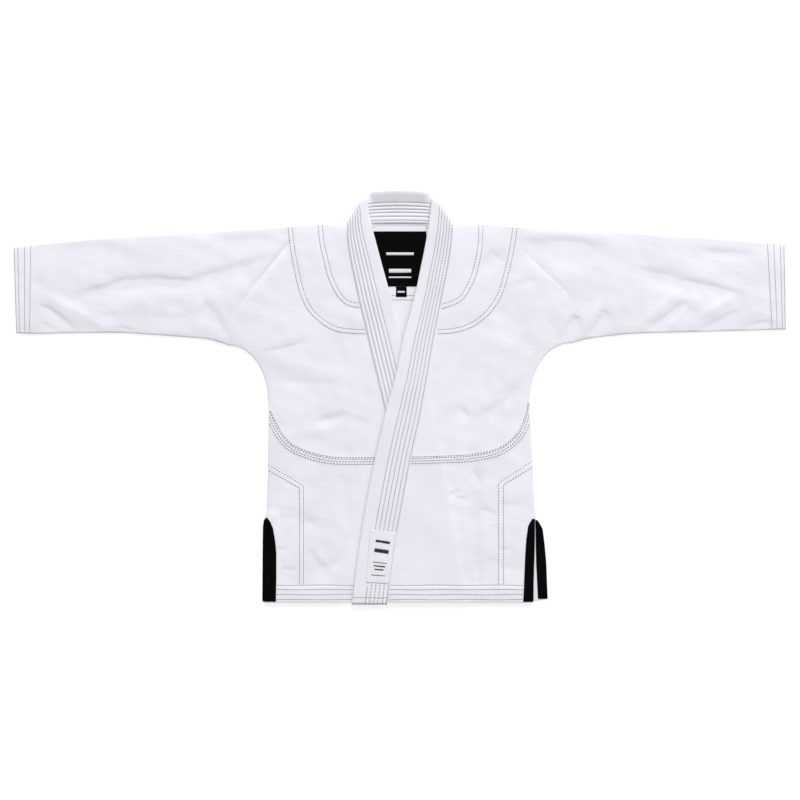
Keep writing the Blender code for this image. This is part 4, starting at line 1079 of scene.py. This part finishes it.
def collar_turn(side, share, half, dip, neck_dip):
    """The fold beside the neck, from the lapel's end round to the back of the neck."""
    row = LAPEL[side][0]
    sewn = np.array((row.sewn_x, row.sewn_y)) * MM
    free = np.array((row.free_x, row.free_y)) * MM
    run = (free - sewn) / np.hypot(*(free - sewn))
    outward = np.array((run[1], -run[0])) * SIGN[side]
    rise = 0.5 * (COLLAR_THICK + GAP)
    centre = COLLAR_THICK + 0.5 * GAP
    angle = math.pi * np.linspace(0.5, -0.5, TURN_STEPS + 1)[:, None]
    c, s = np.cos(angle), np.sin(angle)
    out_reach = FOLD_OUT * (mix(0.8, 1.0, ease(share * 4.4)) - 0.5 * ease((share - 0.72) / 0.28))
    lean = np.stack([c / out_reach, s / rise + 0 * out_reach], -1)
    lean /= np.hypot(lean[..., 0], lean[..., 1])[..., None]
    plan = sewn + (free - sewn) * share[:, None]
    faces = []
    for reach in (half - dip * (0.75 + 0.25 * s), -half + neck_dip * (0.5 - 0.5 * s)):
        out = out_reach * c + lean[..., 0] * reach
        z = centre + rise * s + lean[..., 1] * reach
        slant = FOLD_SLANT * (1 - ease((share - 0.6) / 0.4)) * out
        flat = plan[None] + out[..., None] * outward + slant[..., None] * run
        faces.append(np.concatenate([flat, z[..., None]], -1))
    return faces


def neck_grid(share, half, dip, neck_dip):
    """The back of the neck, inside up, between the two folds, level towards both of them."""
    rows = Path(smooth_path(np.array(NECK_ROWS) * MM, 12)).at(np.linspace(0, 1, NECK_STEPS))[1:-1]
    x = mix(rows[:, 0:1], rows[:, 2:3], share)
    y = mix(rows[:, 1:2], rows[:, 3:4], share)
    middle = 0.5 * COLLAR_THICK
    roll = NECK_ROLL * np.exp(-((share - NECK_ROLL_AT) / NECK_ROLL_REACH) ** 2)
    roll = roll * ease((0.049 - np.abs(x)) / 0.012)
    thin = NECK_THIN * (1 - ease(share * 7)) * ease((0.048 - np.abs(x)) / 0.012)
    up = middle + half * (1 - 2 * thin) - neck_dip * (1 - thin) + waves(x, y, NECK_SLACK) + roll
    down = middle - half + 0.5 * dip + roll
    return np.stack([x, y, down], -1), np.stack([x, y, up], -1)


def collar(material):
    outer, inner = collar_grid()[:2]
    piece = wall("cloth_collar", outer, inner, material, sharp=60)
    return dress(piece, "collar")


def vent_tape(name, rows, top, lip_z, material):
    """A tape that lies along an edge and turns down over it; top(x, y) is what it lies on."""
    sign = 1 if rows[0].outer > 0 else -1
    rows = np.array(rows)[::-1] * MM
    count = round((rows[-1, 0] - rows[0, 0]) / TAPE_SPACING)
    y = np.linspace(rows[0, 0], rows[-1, 0], count + 1)
    x_in, x_out = (np.interp(y, rows[:, 0], rows[:, k])[:, None] for k in (1, 2))
    y = y[:, None]
    bend = x_out - sign * TAPE_BEND
    x = mix(x_in, bend, TAPE_SHARES)
    yy = y + 0 * x
    low = np.maximum(top(x, yy), top(x - sign * 0.001, yy)) + GAP
    thick = TAPE_THICK * rounded(TAPE_SHARES, 0.1, LABEL_PINCH)
    edge = low[:, -1:]
    angle = np.linspace(0, 0.5 * math.pi, 5)[1:]
    for t in angle:
        low = np.hstack([low, edge - TAPE_DROP * (1 - math.cos(t))])
        x = np.hstack([x, bend + sign * (TAPE_BEND * math.sin(t))])
    flat_part = len(TAPE_SHARES)
    outer_x, outer_z = x.copy(), low + TAPE_THICK
    outer_z[:, :flat_part] = low[:, :flat_part] + thick
    for k, t in enumerate(angle, flat_part):
        outer_x[:, k] = x[:, k] + sign * TAPE_THICK * math.sin(t)
        outer_z[:, k] = low[:, k] + TAPE_THICK * math.cos(t)
    down = np.linspace(0, 1, 4)[1:]
    low, outer_z = (np.hstack([z, mix(z[:, -1:], lip_z, down)]) for z in (low, outer_z))
    x, outer_x = (np.hstack([plan, plan[:, -1:] + 0 * down]) for plan in (x, outer_x))
    yy = y + 0 * x
    rim = rim_share(np.minimum(y - y[0], y[-1] - y))[..., None]
    outer, inner = squeeze(np.stack([outer_x, yy, outer_z], -1), np.stack([x, yy, low], -1), rim)
    piece = wall("twill_" + name, outer, inner, material, sharp=60)
    return dress(piece, name)


def slack_label(x, y, away, slack):
    """How far a label stands off; away is the way from its sewn edge, 1 where that ends."""
    return np.maximum(0.0, (slack.height + waves(x, y, slack)) * ease(away))


def flat_label(name, corners, low, material):
    """A woven label that lies flat, with rounded edges and a slight wave."""
    x0, y0, x1, y1 = corners
    across = shares(x1 - x0, LABEL_SPACING, near=True, far=True)
    up = shares(y1 - y0, LABEL_SPACING, near=True, far=True)
    x, y = np.meshgrid(mix(x0, x1, across), mix(y0, y1, up))
    near = np.minimum(np.minimum(x - x0, x1 - x), np.minimum(y - y0, y1 - y))
    under = low + slack_label(x, y, near / LABEL_SEWN, LABEL_SLACK)
    top = under + LABEL_THICK * rounded(near, LABEL_ROUND, LABEL_PINCH)
    plan = np.stack([x, y], -1)
    piece = wall("woven_" + name, with_height(plan, top), with_height(plan, under), material)
    return dress(piece, name)


def lapel_point(y, from_sewn):
    """A point on the left lapel's outer face, by its sewn edge's height and the way across."""
    rows = smooth_path(np.array(LAPEL["left"]) * MM, 12)[::-1]
    values = [np.interp(y, rows[:, 1], rows[:, k]) for k in range(6)]
    share = from_sewn / COLLAR_WIDTH
    columns = np.array(COLLAR_ACROSS)
    thick = np.interp(from_sewn / MM, columns[:, 0], columns[:, 1]) * MM
    return np.stack([mix(values[0], values[2], share), mix(values[1], values[3], share),
                     mix(values[4], values[5], share) + 0.5 * (COLLAR_THICK + thick)], -1)


def lapel_label(material):
    place = LAPEL_LABEL
    width, height = place["to_sewn"] - place["from_sewn"], place["top_y"] - place["bottom_y"]
    across, up = (shares(size, PATCH_SPACING, near=True, far=True) for size in (width, height))
    u, v = np.meshgrid(across, up)
    a = mix(mix(place["to_sewn"], place["to_sewn_top"], v), place["from_sewn"], u)
    b = mix(place["bottom_y"], place["top_y"], v)
    under = lapel_point(b, a) + (0, 0, GAP + LABEL_LIFT)
    near = np.minimum(np.minimum(u, 1 - u) * width, np.minimum(v, 1 - v) * height)
    under[..., 2] += slack_label(a, b, near / PATCH_SEWN, PATCH_SLACK)
    outer = under.copy()
    outer[..., 2] += LABEL_THICK * rounded(near, LABEL_ROUND, LABEL_PINCH)
    piece = wall("woven_lapel_label", outer, under, material)
    return dress(piece, "lapel_label")


def run_of_stitches(points, normals, settings):
    """Start, end and up direction of each stitch along a 3-D line."""
    steps = np.sqrt((np.diff(points, axis=0) ** 2).sum(1))
    reach = np.concatenate([[0], np.cumsum(steps)])
    length = settings.length
    count = max(1, round((reach[-1] - length) / settings.pitch))
    start = np.linspace(0, max(0.0, reach[-1] - length), count + 1)
    ends = [np.stack([np.interp(start + s, reach, points[:, k]) for k in range(3)], -1)
            for s in (0, length)]
    up = np.stack([np.interp(start + 0.5 * length, reach, normals[:, k]) for k in range(3)], -1)
    return np.stack(ends, 1), up / np.linalg.norm(up, axis=1)[:, None]


def thread(name, runs, radius, material):
    """Joins the stitches of many rows as one mesh of small capsules."""
    ends = np.concatenate([run[0] for run in runs])
    up = np.concatenate([run[1] for run in runs])
    draw = np.random.default_rng(len(name) * 7 + len(ends))
    along = ends[:, 1] - ends[:, 0]
    along /= np.linalg.norm(along, axis=1)[:, None]
    aside = np.cross(along, up)
    ends = ends + (draw.normal(0, STRAY, len(ends))[:, None] * aside)[:, None]
    centre = ends[:, :1] + (ends[:, 1:] - ends[:, :1]) * THREAD_SHARES[None, :, None]
    centre = centre + up[:, None] * THREAD_RISE[None, :, None] * radius
    angle = np.arange(THREAD_SIDES) / THREAD_SIDES * 2 * math.pi
    around = (np.cos(angle)[None, :, None] * aside[:, None]
              + np.sin(angle)[None, :, None] * up[:, None])
    thickness = radius * draw.normal(1, UNEVEN, len(ends))
    size = THREAD_GIRTH[None, :, None, None] * thickness[:, None, None, None]
    points = centre[:, :, None] + around[:, None] * size
    around_one = np.arange(THREAD_SIDES)
    ring, turn = np.meshgrid(np.arange(len(THREAD_SHARES) - 1), around_one, indexing="ij")
    a = (ring * THREAD_SIDES + turn).ravel()
    b = (ring * THREAD_SIDES + (turn + 1) % THREAD_SIDES).ravel()
    quads = np.stack([a, a + THREAD_SIDES, b + THREAD_SIDES, b], 1)
    each = len(THREAD_SHARES) * THREAD_SIDES
    caps = np.array((around_one, each - 1 - around_one))
    starts = np.arange(len(ends))[:, None, None] * each
    faces = (starts + quads).reshape(-1, 4).tolist()
    faces += (starts + caps).reshape(-1, THREAD_SIDES).tolist()
    piece = make_mesh(name, points.reshape(-1, 3), faces, material, 0)
    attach(piece, "root")
    return piece


def along_plan(plan, step, height_at, up, settings):
    """Stitches along a plan line, at the heights of what it is sewn to."""
    path = Path(plan)
    plan = path.at(np.linspace(0, 1, max(4, round(path.length / step))))
    points = np.column_stack([plan, height_at(plan[:, 0], plan[:, 1])])
    return run_of_stitches(points, np.tile(up, (len(plan), 1)), settings)


def under_back(plan, settings):
    return along_plan(plan, BACK_STEP, lambda x, y: 0 * x, -UP, settings)


def trimmed(plan, side):
    """The part of a plan line that lies on a side's front, clear of collar and edge."""
    clear = SIGN[side] * (plan[:, 0] - lapel_x(side, "sewn", plan[:, 1])) > 0.0012
    clear &= plan[:, 1] < np.interp(np.abs(plan[:, 0]), SHOULDER_X, SHOULDER_Y)
    return plan[clear]


def front_stitch_plans(side):
    """Plan lines of all stitch rows on one front."""
    sign = SIGN[side]
    plans = []
    for pair in row_pairs(side):
        plans += [trimmed(path.at(np.linspace(0, 1, 500)), side) for path in pair]
    for offset in SEAM_ROWS:
        base = seam_path(side)
        plan = base.shifted(offset * MM * -sign).points
        close = SEAM_CLOSE * ease((plan[:, 1:] + 0.050) / 0.040) if offset > 0 else 0.0
        plan = Path(Path(mix(plan, base.points, close)).at(np.linspace(0, 1, 500)))
        edge_x, edge_y = in_metres(FRONT_SIDE[side])[::-1].T
        edge = np.interp(plan.points[:, 1], edge_y, edge_x)
        clear = sign * (edge - plan.points[:, 0]) > 0.0022
        plans.append(trimmed(plan.points[clear], side))
    tape = np.array(TAPE_FRONT[side])[::-1] * MM
    for row in HEM_ROWS:
        y = row * MM
        start = float(lapel_x(side, "sewn", y)) + sign * 0.0015
        end = float(np.interp(y, tape[:, 0], tape[:, 1])) - sign * 0.0012
        xs = np.linspace(start, end, 60)
        plans.append(np.column_stack([xs, y + 0.0004 * np.sin(xs * 70 + row)]))
    return plans


def side_of_front(side, settings):
    """Rows on one front, without what the other front hides."""
    runs = []
    for plan in front_stitch_plans(side):
        if side == "right":
            plan = plan[plan[:, 0] < lapel_x("left", "free", plan[:, 1]) + 0.004]
        if len(plan) > 3:
            runs.append(along_plan(plan, FRONT_STEP, lambda x, y: front_top(side, x, y), UP,
                                   settings))
    return runs


def back_runs(settings):
    """Rows on the underside of the back, and the two that show inside it below the label."""
    runs = []
    for offset in SEAM_ROWS:
        points = back_seam(offset * MM).points
        runs.append(under_back(points[np.abs(points[:, 0]) < 0.197], settings))
    for row in HEM_ROWS:
        runs.append(under_back(np.array([(-0.2085, row * MM), (0.2, row * MM)]), settings))
    for line in (YOKE_OUTER, YOKE_INNER):
        for shift in (0, PAIR * MM):
            left = Path(smooth_path(in_metres(line["left"]), 6)).shifted(-shift).points
            right = Path(smooth_path(in_metres(line["right"]), 6)).shifted(shift).points
            whole = np.vstack([right, left[::-1]])
            runs.append(under_back(whole[whole[:, 1] < 0.262], settings))
    for row in INSIDE_ROWS:
        plan = np.array([(-0.045, row * MM), (0.045, row * MM)])
        runs.append(along_plan(plan, BACK_STEP, lambda x, y: 0 * x + WALL, UP, settings))
    return runs


def collar_runs(settings):
    """Rows along the whole collar, and the rows inside the back of the neck."""
    outer, inner, across, (left_count, neck_count) = collar_grid()
    runs = []
    for row in COLLAR_ROWS:
        runs += collar_row(outer, inner, across, row, 0, len(outer), settings)
    for row in NECK_INSIDE_ROWS:
        runs += collar_row(inner, outer, across, row, left_count - 8, left_count + neck_count + 8,
                           settings)
    return runs


def collar_row(face, other, across, row, start, stop, settings):
    """One row along the collar, in runs where it isn't hidden under a label or a front."""
    k = int(np.argmin(np.abs(across - row * MM)))
    points = face[start:stop, k]
    normals = points - other[start:stop, k]
    y, x = points[:, 1], points[:, 0]
    shown = ~((x < 0.02) & (y < LAPEL_LABEL["top_y"] + 0.0015)
              & (y > LAPEL_LABEL["bottom_y"] - 0.0012)
              & (np.arange(len(y)) + start < 0.5 * len(face)))
    second = np.arange(len(y)) + start > 0.5 * len(face)
    shown &= ~(second & (y < 0.10) & (x > lapel_x("left", "free", y) + 0.006))
    runs = []
    edges = np.flatnonzero(np.diff(np.concatenate([[0], shown.astype(int), [0]])))
    for a, b in zip(edges[::2], edges[1::2]):
        if b - a > 3:
            runs.append(run_of_stitches(points[a:b], normals[a:b], settings))
    return runs


def collar_end_runs(settings):
    """Cross rows at the hem end of the left lapel."""
    outer, inner, across = collar_grid()[:3]
    keep = (across > 0.0006) & (across < 0.0525)
    runs = []
    for y in COLLAR_END_ROWS:
        k = int(np.argmin(np.abs(outer[:80, 10, 1] - y)))
        runs.append(run_of_stitches(outer[k, keep], (outer - inner)[k, keep], settings))
    return runs


def sleeve_runs(side, settings):
    """Rows round the cuff."""
    outer, inner = sleeve_rings(side)[:2]
    runs = []
    middle_x = np.abs(outer[:, SLEEVE_MIDDLE, 0])
    for row in CUFF_ROWS[side]:
        k = int(np.searchsorted(middle_x, row * MM)) - 1
        share = (row * MM - middle_x[k]) / (middle_x[k + 1] - middle_x[k])
        ring, under = (mix(grid[k], grid[k + 1], share) for grid in (outer, inner))
        closed = np.vstack([ring, ring[:1]]), np.vstack([under, under[:1]])
        runs.append(run_of_stitches(closed[0], closed[0] - closed[1], settings))
    return runs


def satin(points_of, boxes):
    """Bars of close parallel thread: x0, y0, x1, y1 of each in the place's own plan."""
    runs = []
    for x0, y0, x1, y1 in boxes:
        count = max(2, round((x1 - x0) / SATIN_SPACING))
        xs = np.linspace(x0, x1, count)
        starts, ends = points_of(xs, np.full(count, y0)), points_of(xs, np.full(count, y1))
        runs.append((np.stack([starts, ends], 1), np.tile(UP, (count, 1))))
    return runs


def node_tree(name):
    material = bpy.data.materials.new(name)
    material.use_nodes = True
    tree = material.node_tree
    return material, tree, tree.nodes["Principled BSDF"]


def give(tree, socket, value):
    """Sets a socket's value, or links another node's output to it."""
    if isinstance(value, bpy.types.NodeSocket):
        tree.links.new(value, socket)
    else:
        socket.default_value = value


def set_up(tree, node, **values):
    """Gives each named input its value, spaces written as _, and sets a node's own settings."""
    for key, value in values.items():
        socket = node.inputs.get(key.replace("_", " "))
        if socket:
            give(tree, socket, value)
        else:
            setattr(node, key, value)
    return node


def add(tree, kind, **values):
    return set_up(tree, tree.nodes.new(kind), **values)


def math_node(tree, operation, *values):
    node = add(tree, "ShaderNodeMath", operation=operation)
    for socket, value in zip(node.inputs, values):
        give(tree, socket, value)
    return node.outputs[0]


def placed(tree, turn=0.0):
    """Object coordinates, turned."""
    coordinates = add(tree, "ShaderNodeTexCoord").outputs["Object"]
    turned = (0, 0, math.radians(turn))
    return add(tree, "ShaderNodeMapping", Rotation=turned, Vector=coordinates).outputs["Vector"]


def ribs(tree, vector, direction, period):
    """Ribs of thread across one direction, from 0 to 1."""
    wave = add(tree, "ShaderNodeTexWave", wave_type="BANDS", bands_direction=direction,
               wave_profile="SIN", Scale=WAVE_PERIOD / period, Distortion=0.6, Detail=1.0,
               Detail_Scale=3.0, Vector=vector)
    return wave.outputs["Fac"]


def noise(tree, vector, scale, detail):
    node = add(tree, "ShaderNodeTexNoise", Scale=scale, Detail=detail, Vector=vector)
    return node.outputs["Fac"]


def tones(tree, factor, colour, dark, light, places=(0, 1)):
    """A colour from its dark to its light tone."""
    ramp = add(tree, "ShaderNodeValToRGB", Fac=factor)
    for element, place, tone in zip(ramp.color_ramp.elements, places, (dark, light)):
        element.position = place
        element.color = (*[min(1, c * tone) for c in colour], 1)
    return ramp.outputs["Color"]


def bump(tree, height, strength, distance):
    node = add(tree, "ShaderNodeBump", Strength=strength, Distance=distance, Height=height)
    return node.outputs["Normal"]


def between(tree, factor, low, high):
    node = add(tree, "ShaderNodeMapRange", Value=factor, To_Min=low, To_Max=high)
    return node.outputs["Result"]


def cloth_material(name, colour, rib, pick, strength, turn=0.0, roughness=0.85):
    """Woven cotton: ribs one way, picks the other, slubs, soft changes of tone, and painted shade
    in the weave's hollows.
    """
    material, tree, shader = node_tree(name)
    vector = placed(tree, turn)
    weave = math_node(tree, "MULTIPLY", ribs(tree, vector, "Y", rib),
                      ribs(tree, vector, "X", pick))
    slub = math_node(tree, "MULTIPLY", noise(tree, vector, 0.45 / rib, 4), 0.8)
    height = math_node(tree, "ADD", weave, slub)
    tone = tones(tree, noise(tree, vector, 14, 5), colour, 0.965, 1.02, places=(0.30, 0.70))
    # Painted shade: the colour darkens where the weave is low, as shade would fall in its hollows.
    painted_hollow_shade = math_node(tree, "MULTIPLY", math_node(tree, "SUBTRACT", 1.0, weave), 0.10)
    shade = add(tree, "ShaderNodeMix", data_type="RGBA", blend_type="MULTIPLY")
    for k, value in ((0, painted_hollow_shade), (6, tone), (7, (0.72, 0.73, 0.76, 1))):
        give(tree, shade.inputs[k], value)
    set_up(tree, shader, Roughness=roughness, Specular_IOR_Level=0.25, Sheen_Weight=0.25,
           Sheen_Roughness=0.55, Base_Color=shade.outputs[2],
           Normal=bump(tree, height, strength, 0.0004))
    return material


def twill_material(name, colour, period, strength, roughness):
    """A dark woven tape or label with fine diagonal ribs."""
    material, tree, shader = node_tree(name)
    vector = placed(tree, 52)
    grain = noise(tree, vector, 260, 4)
    height = math_node(tree, "ADD", ribs(tree, vector, "X", period),
                       math_node(tree, "MULTIPLY", grain, 0.7))
    # Colour follows the ribs' height: painted highlight on their tops and painted shade in their
    # hollows, with random tone from the grain.
    tone = tones(tree, math_node(tree, "MULTIPLY", height, 0.6), colour, 0.7, 1.5)
    set_up(tree, shader, Specular_IOR_Level=0.02, Base_Color=tone,
           Roughness=between(tree, grain, roughness - 0.08, roughness + 0.08),
           Normal=bump(tree, height, strength, 0.0002))
    return material


def thread_material(name, colour):
    """Sewing thread, slightly twisted: its turns show as painted highlight and shade in bands and
    as changes of roughness, with a sheen.
    """
    material, tree, shader = node_tree(name)
    twist_light_and_gloss = ribs(tree, placed(tree, 40), "X", 0.0004)
    # Painted highlight and shade: the colour goes lighter and darker in bands along the thread's
    # turns.
    set_up(tree, shader, Sheen_Weight=0.15, Base_Color=tones(tree, twist_light_and_gloss, colour, 0.75, 1.3),
           Roughness=between(tree, twist_light_and_gloss, 0.45, 0.65))
    return material


def material_of(key, settings):
    """The named finish, made once."""
    cloth, sewing = settings.cloth, settings.stitching
    finishes = {
        "pearl_weave_cotton": lambda: cloth_material(key, cloth.colour, 0.0019, 0.0013, 0.25),
        "collar_cotton": lambda: cloth_material(key, cloth.colour, 0.0011, 0.0009, 0.30,
                                                turn=12, roughness=0.8),
        "woven_patch": lambda: cloth_material(key, cloth.colour, 0.0006, 0.0005, 0.20,
                                              roughness=0.6),
        "vent_twill": lambda: twill_material(key, cloth.tape_colour, 0.0012, 0.5, 0.75),
        "dark_weave": lambda: twill_material(key, cloth.tape_colour, 0.0006, 0.35, 0.6),
        "dark_thread": lambda: thread_material(key, sewing.colour),
        "light_thread": lambda: thread_material(key, sewing.label_colour),
    }
    return bpy.data.materials.get(key) or finishes[key]()


class GiCloth(bpy.types.PropertyGroup):
    colour: bpy.props.FloatVectorProperty(
        name="Cloth colour", description="Colour of the panels and the collar",
        subtype="COLOR", size=3, min=0, max=1, default=(0.793, 0.800, 0.856))
    tape_colour: bpy.props.FloatVectorProperty(
        name="Tape colour", description="Colour of the vent tapes and the neck label",
        subtype="COLOR", size=3, min=0, max=1, default=(0.0022, 0.0022, 0.0026))
    spacing: bpy.props.FloatProperty(
        name="Mesh spacing", description="Distance between points of the cloth",
        unit="LENGTH", subtype="DISTANCE", min=0.001, max=0.02, default=0.0022)
    depth: bpy.props.FloatProperty(
        name="Crease depth", description="Multiplies the height of the creases",
        subtype="FACTOR", min=0, max=2, default=1.0)


class GiStitching(bpy.types.PropertyGroup):
    pitch: bpy.props.FloatProperty(
        name="Stitch pitch", description="Distance from one stitch to the next",
        unit="LENGTH", subtype="DISTANCE", min=0.001, max=0.02, default=0.0046)
    length: bpy.props.FloatProperty(
        name="Stitch length", description="Length of thread that shows in one stitch",
        unit="LENGTH", subtype="DISTANCE", min=0.0005, max=0.02, default=0.0032)
    radius: bpy.props.FloatProperty(
        name="Thread radius", description="Half the thickness of the thread",
        unit="LENGTH", subtype="DISTANCE", min=0.0001, max=0.002, default=0.00044)
    colour: bpy.props.FloatVectorProperty(
        name="Thread colour", description="Colour of the contrast stitching",
        subtype="COLOR", size=3, min=0, max=1, default=(0.012, 0.012, 0.018))
    label_colour: bpy.props.FloatVectorProperty(
        name="Label thread colour", description="Colour of the light bars on the neck label",
        subtype="COLOR", size=3, min=0, max=1, default=(0.70, 0.70, 0.72))


class GiStage(bpy.types.PropertyGroup):
    floor_colour: bpy.props.FloatVectorProperty(
        name="Floor colour", description="Colour of the plain floor",
        subtype="COLOR", size=3, min=0, max=1, default=(0.30, 0.30, 0.30))
    floor_glow: bpy.props.FloatProperty(
        name="Floor glow", description="Light that the floor gives, as a lit white table does",
        min=0, max=2, default=0.75)
    ambient: bpy.props.FloatProperty(
        name="Ambient light", description="Strength of the even light from all round",
        min=0, max=5, default=0.42)
    key_power: bpy.props.FloatProperty(
        name="Key light", description="Power of the large soft light beyond the collar",
        unit="POWER", min=0, max=5000, default=1900)
    camera_height: bpy.props.FloatProperty(
        name="Camera height", description="Height of the camera above the jacket",
        unit="LENGTH", subtype="DISTANCE", min=1, max=30, default=8.0)


class GiSettings(bpy.types.PropertyGroup):
    cloth: bpy.props.PointerProperty(type=GiCloth, name="Cloth", description="Panels and collar")
    stitching: bpy.props.PointerProperty(
        type=GiStitching, name="Stitching", description="Contrast stitching")
    stage: bpy.props.PointerProperty(type=GiStage, name="Stage", description="Floor and light")


class GI_OT_body(bpy.types.Operator):
    """Make the back and both fronts, each an upper part and a skirt"""
    bl_idname = "gi.body"
    bl_label = "Back and fronts"

    def execute(self, context):
        settings = context.scene.gi_jacket
        LOOK.update(depth=settings.cloth.depth, spacing=settings.cloth.spacing)
        cloth = material_of("pearl_weave_cotton", settings)
        back_upper(cloth)
        back_skirt(cloth)
        for side in SIDES:
            front_upper(side, cloth)
            front_skirt(side, cloth)
        return {"FINISHED"}


class GI_OT_sleeves(bpy.types.Operator):
    """Make both sleeves, flattened tubes that are open at the cuffs"""
    bl_idname = "gi.sleeves"
    bl_label = "Sleeves"

    def execute(self, context):
        settings = context.scene.gi_jacket
        for side in SIDES:
            sleeve(side, material_of("pearl_weave_cotton", settings))
        return {"FINISHED"}


class GI_OT_collar(bpy.types.Operator):
    """Make the long band that is the collar and both lapels"""
    bl_idname = "gi.collar"
    bl_label = "Collar"

    def execute(self, context):
        collar(material_of("collar_cotton", context.scene.gi_jacket))
        return {"FINISHED"}


class GI_OT_tapes(bpy.types.Operator):
    """Make the dark tapes on the side vents"""
    bl_idname = "gi.tapes"
    bl_label = "Vent tapes"

    def execute(self, context):
        twill = material_of("vent_twill", context.scene.gi_jacket)
        for side in SIDES:
            vent_tape("vent_tape_front_%s" % side, TAPE_FRONT[side],
                      lambda x, y, s=side: front_top(s, x, y), FRONT_LIP[side], twill)
            vent_tape("vent_tape_back_%s" % side, TAPE_BACK[side],
                      lambda x, y: np.full(x.shape, WALL), 0.0001, twill)
        return {"FINISHED"}


class GI_OT_labels(bpy.types.Operator):
    """Make the neck label, the size tab and the lapel's woven patch, with plain woven bars"""
    bl_idname = "gi.labels"
    bl_label = "Labels"

    def execute(self, context):
        settings = context.scene.gi_jacket
        dark = material_of("dark_weave", settings)
        flat_label("neck_label", NECK_LABEL, WALL + GAP, dark)
        flat_label("size_tab", SIZE_TAB, WALL + GAP, dark)
        lapel_label(material_of("woven_patch", settings))
        top = WALL + GAP + LABEL_THICK + BAR_RISE
        bars = satin(lambda x, y: np.column_stack([x, y, 0 * x + top]), NECK_BARS)
        thread("bars_neck_label", bars, SATIN_RADIUS, material_of("light_thread", settings))
        rise = (0, 0, GAP + LABEL_LIFT + LABEL_THICK + BAR_RISE)
        bars = satin(lambda x, y: lapel_point(y, x) + rise, LAPEL_BARS)
        thread("bars_lapel_label", bars, SATIN_RADIUS, material_of("dark_thread", settings))
        return {"FINISHED"}


class GI_OT_stitching(bpy.types.Operator):
    """Sew every row of contrast stitching, stitch by stitch"""
    bl_idname = "gi.stitching"
    bl_label = "Stitching"

    def execute(self, context):
        settings = context.scene.gi_jacket
        sewing = settings.stitching
        dark = material_of("dark_thread", settings)
        for side in SIDES:
            thread("stitches_front_%s" % side, side_of_front(side, sewing), sewing.radius, dark)
            thread("stitches_cuff_%s" % side, sleeve_runs(side, sewing), sewing.radius, dark)
        collar_rows = collar_runs(sewing) + collar_end_runs(sewing)
        thread("stitches_collar", collar_rows, sewing.radius, dark)
        thread("stitches_back", back_runs(sewing), sewing.radius, dark)
        return {"FINISHED"}


class GI_OT_stage(bpy.types.Operator):
    """Make the floor, the soft light and the camera above"""
    bl_idname = "gi.stage"
    bl_label = "Stage"

    def execute(self, context):
        stage = context.scene.gi_jacket.stage
        make_floor(stage)
        make_light(context.scene, stage)
        make_camera(context.scene, stage)
        return {"FINISHED"}


def make_floor(stage):
    bpy.ops.mesh.primitive_plane_add(size=12, location=(0, 0, -0.0006))
    floor = bpy.context.object
    floor.name = "floor"
    material, tree, shader = node_tree("pale_floor")
    set_up(tree, shader, Base_Color=(*stage.floor_colour, 1), Roughness=0.9,
           Specular_IOR_Level=0.1, Emission_Color=(1, 1, 1, 1), Emission_Strength=stage.floor_glow)
    floor.data.materials.append(material)


def make_light(scene, stage):
    world = bpy.data.worlds.new("soft_studio")
    world.use_nodes = True
    set_up(world.node_tree, world.node_tree.nodes["Background"], Color=(1, 1, 1, 1),
           Strength=stage.ambient)
    scene.world = world
    for name, place, size, power in (
            ("key", (1.2, 11.0, 9.0), 9.0, stage.key_power),
            ("fill", (4.2, 2.4, 4.4), 3.0, FILL_SHARE * stage.key_power)):
        light = bpy.data.lights.new(name, "AREA")
        light.shape = "DISK"
        light.size = size
        light.energy = power
        lamp = bpy.data.objects.new(name, light)
        lamp.location = place
        lamp.rotation_euler = Vector(place).to_track_quat("Z", "Y").to_euler()
        scene.collection.objects.link(lamp)
    scene.view_settings.view_transform = "Standard"


def make_camera(scene, stage):
    data = bpy.data.cameras.new("camera")
    data.sensor_width = SENSOR
    data.lens = SENSOR * stage.camera_height / PHOTO_WIDTH
    data.clip_start, data.clip_end = 0.1, 100
    camera = bpy.data.objects.new("camera", data)
    camera.location = (0, PHOTO_SHIFT_Y, stage.camera_height)
    scene.collection.objects.link(camera)
    scene.camera = camera


class GI_PT_panel(bpy.types.Panel):
    """Lists the settings and the pieces of the jacket"""
    bl_idname = "GI_PT_panel"
    bl_label = "Gi jacket"
    bl_space_type = "VIEW_3D"
    bl_region_type = "UI"
    bl_category = "Gi jacket"

    def draw(self, context):
        settings = context.scene.gi_jacket
        for group in (settings.cloth, settings.stitching, settings.stage):
            box = self.layout.box()
            for name in group.__annotations__:
                box.prop(group, name)
        for operator in OPERATORS:
            self.layout.operator(operator.bl_idname)


OPERATORS = (GI_OT_body, GI_OT_sleeves, GI_OT_collar, GI_OT_tapes, GI_OT_labels,
             GI_OT_stitching, GI_OT_stage)
CLASSES = (GiCloth, GiStitching, GiStage, GiSettings) + OPERATORS + (GI_PT_panel,)


def register():
    for cls in CLASSES:
        bpy.utils.register_class(cls)
    bpy.types.Scene.gi_jacket = bpy.props.PointerProperty(type=GiSettings)


def unregister():
    del bpy.types.Scene.gi_jacket
    for cls in reversed(CLASSES):
        bpy.utils.unregister_class(cls)


def main():
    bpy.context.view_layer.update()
    register()
    bpy.ops.gi.body()
    bpy.ops.gi.sleeves()
    bpy.ops.gi.collar()
    bpy.ops.gi.tapes()
    bpy.ops.gi.labels()
    bpy.ops.gi.stitching()
    bpy.ops.gi.stage()
    bpy.context.view_layer.update()


if __name__ == "__main__":
    main()
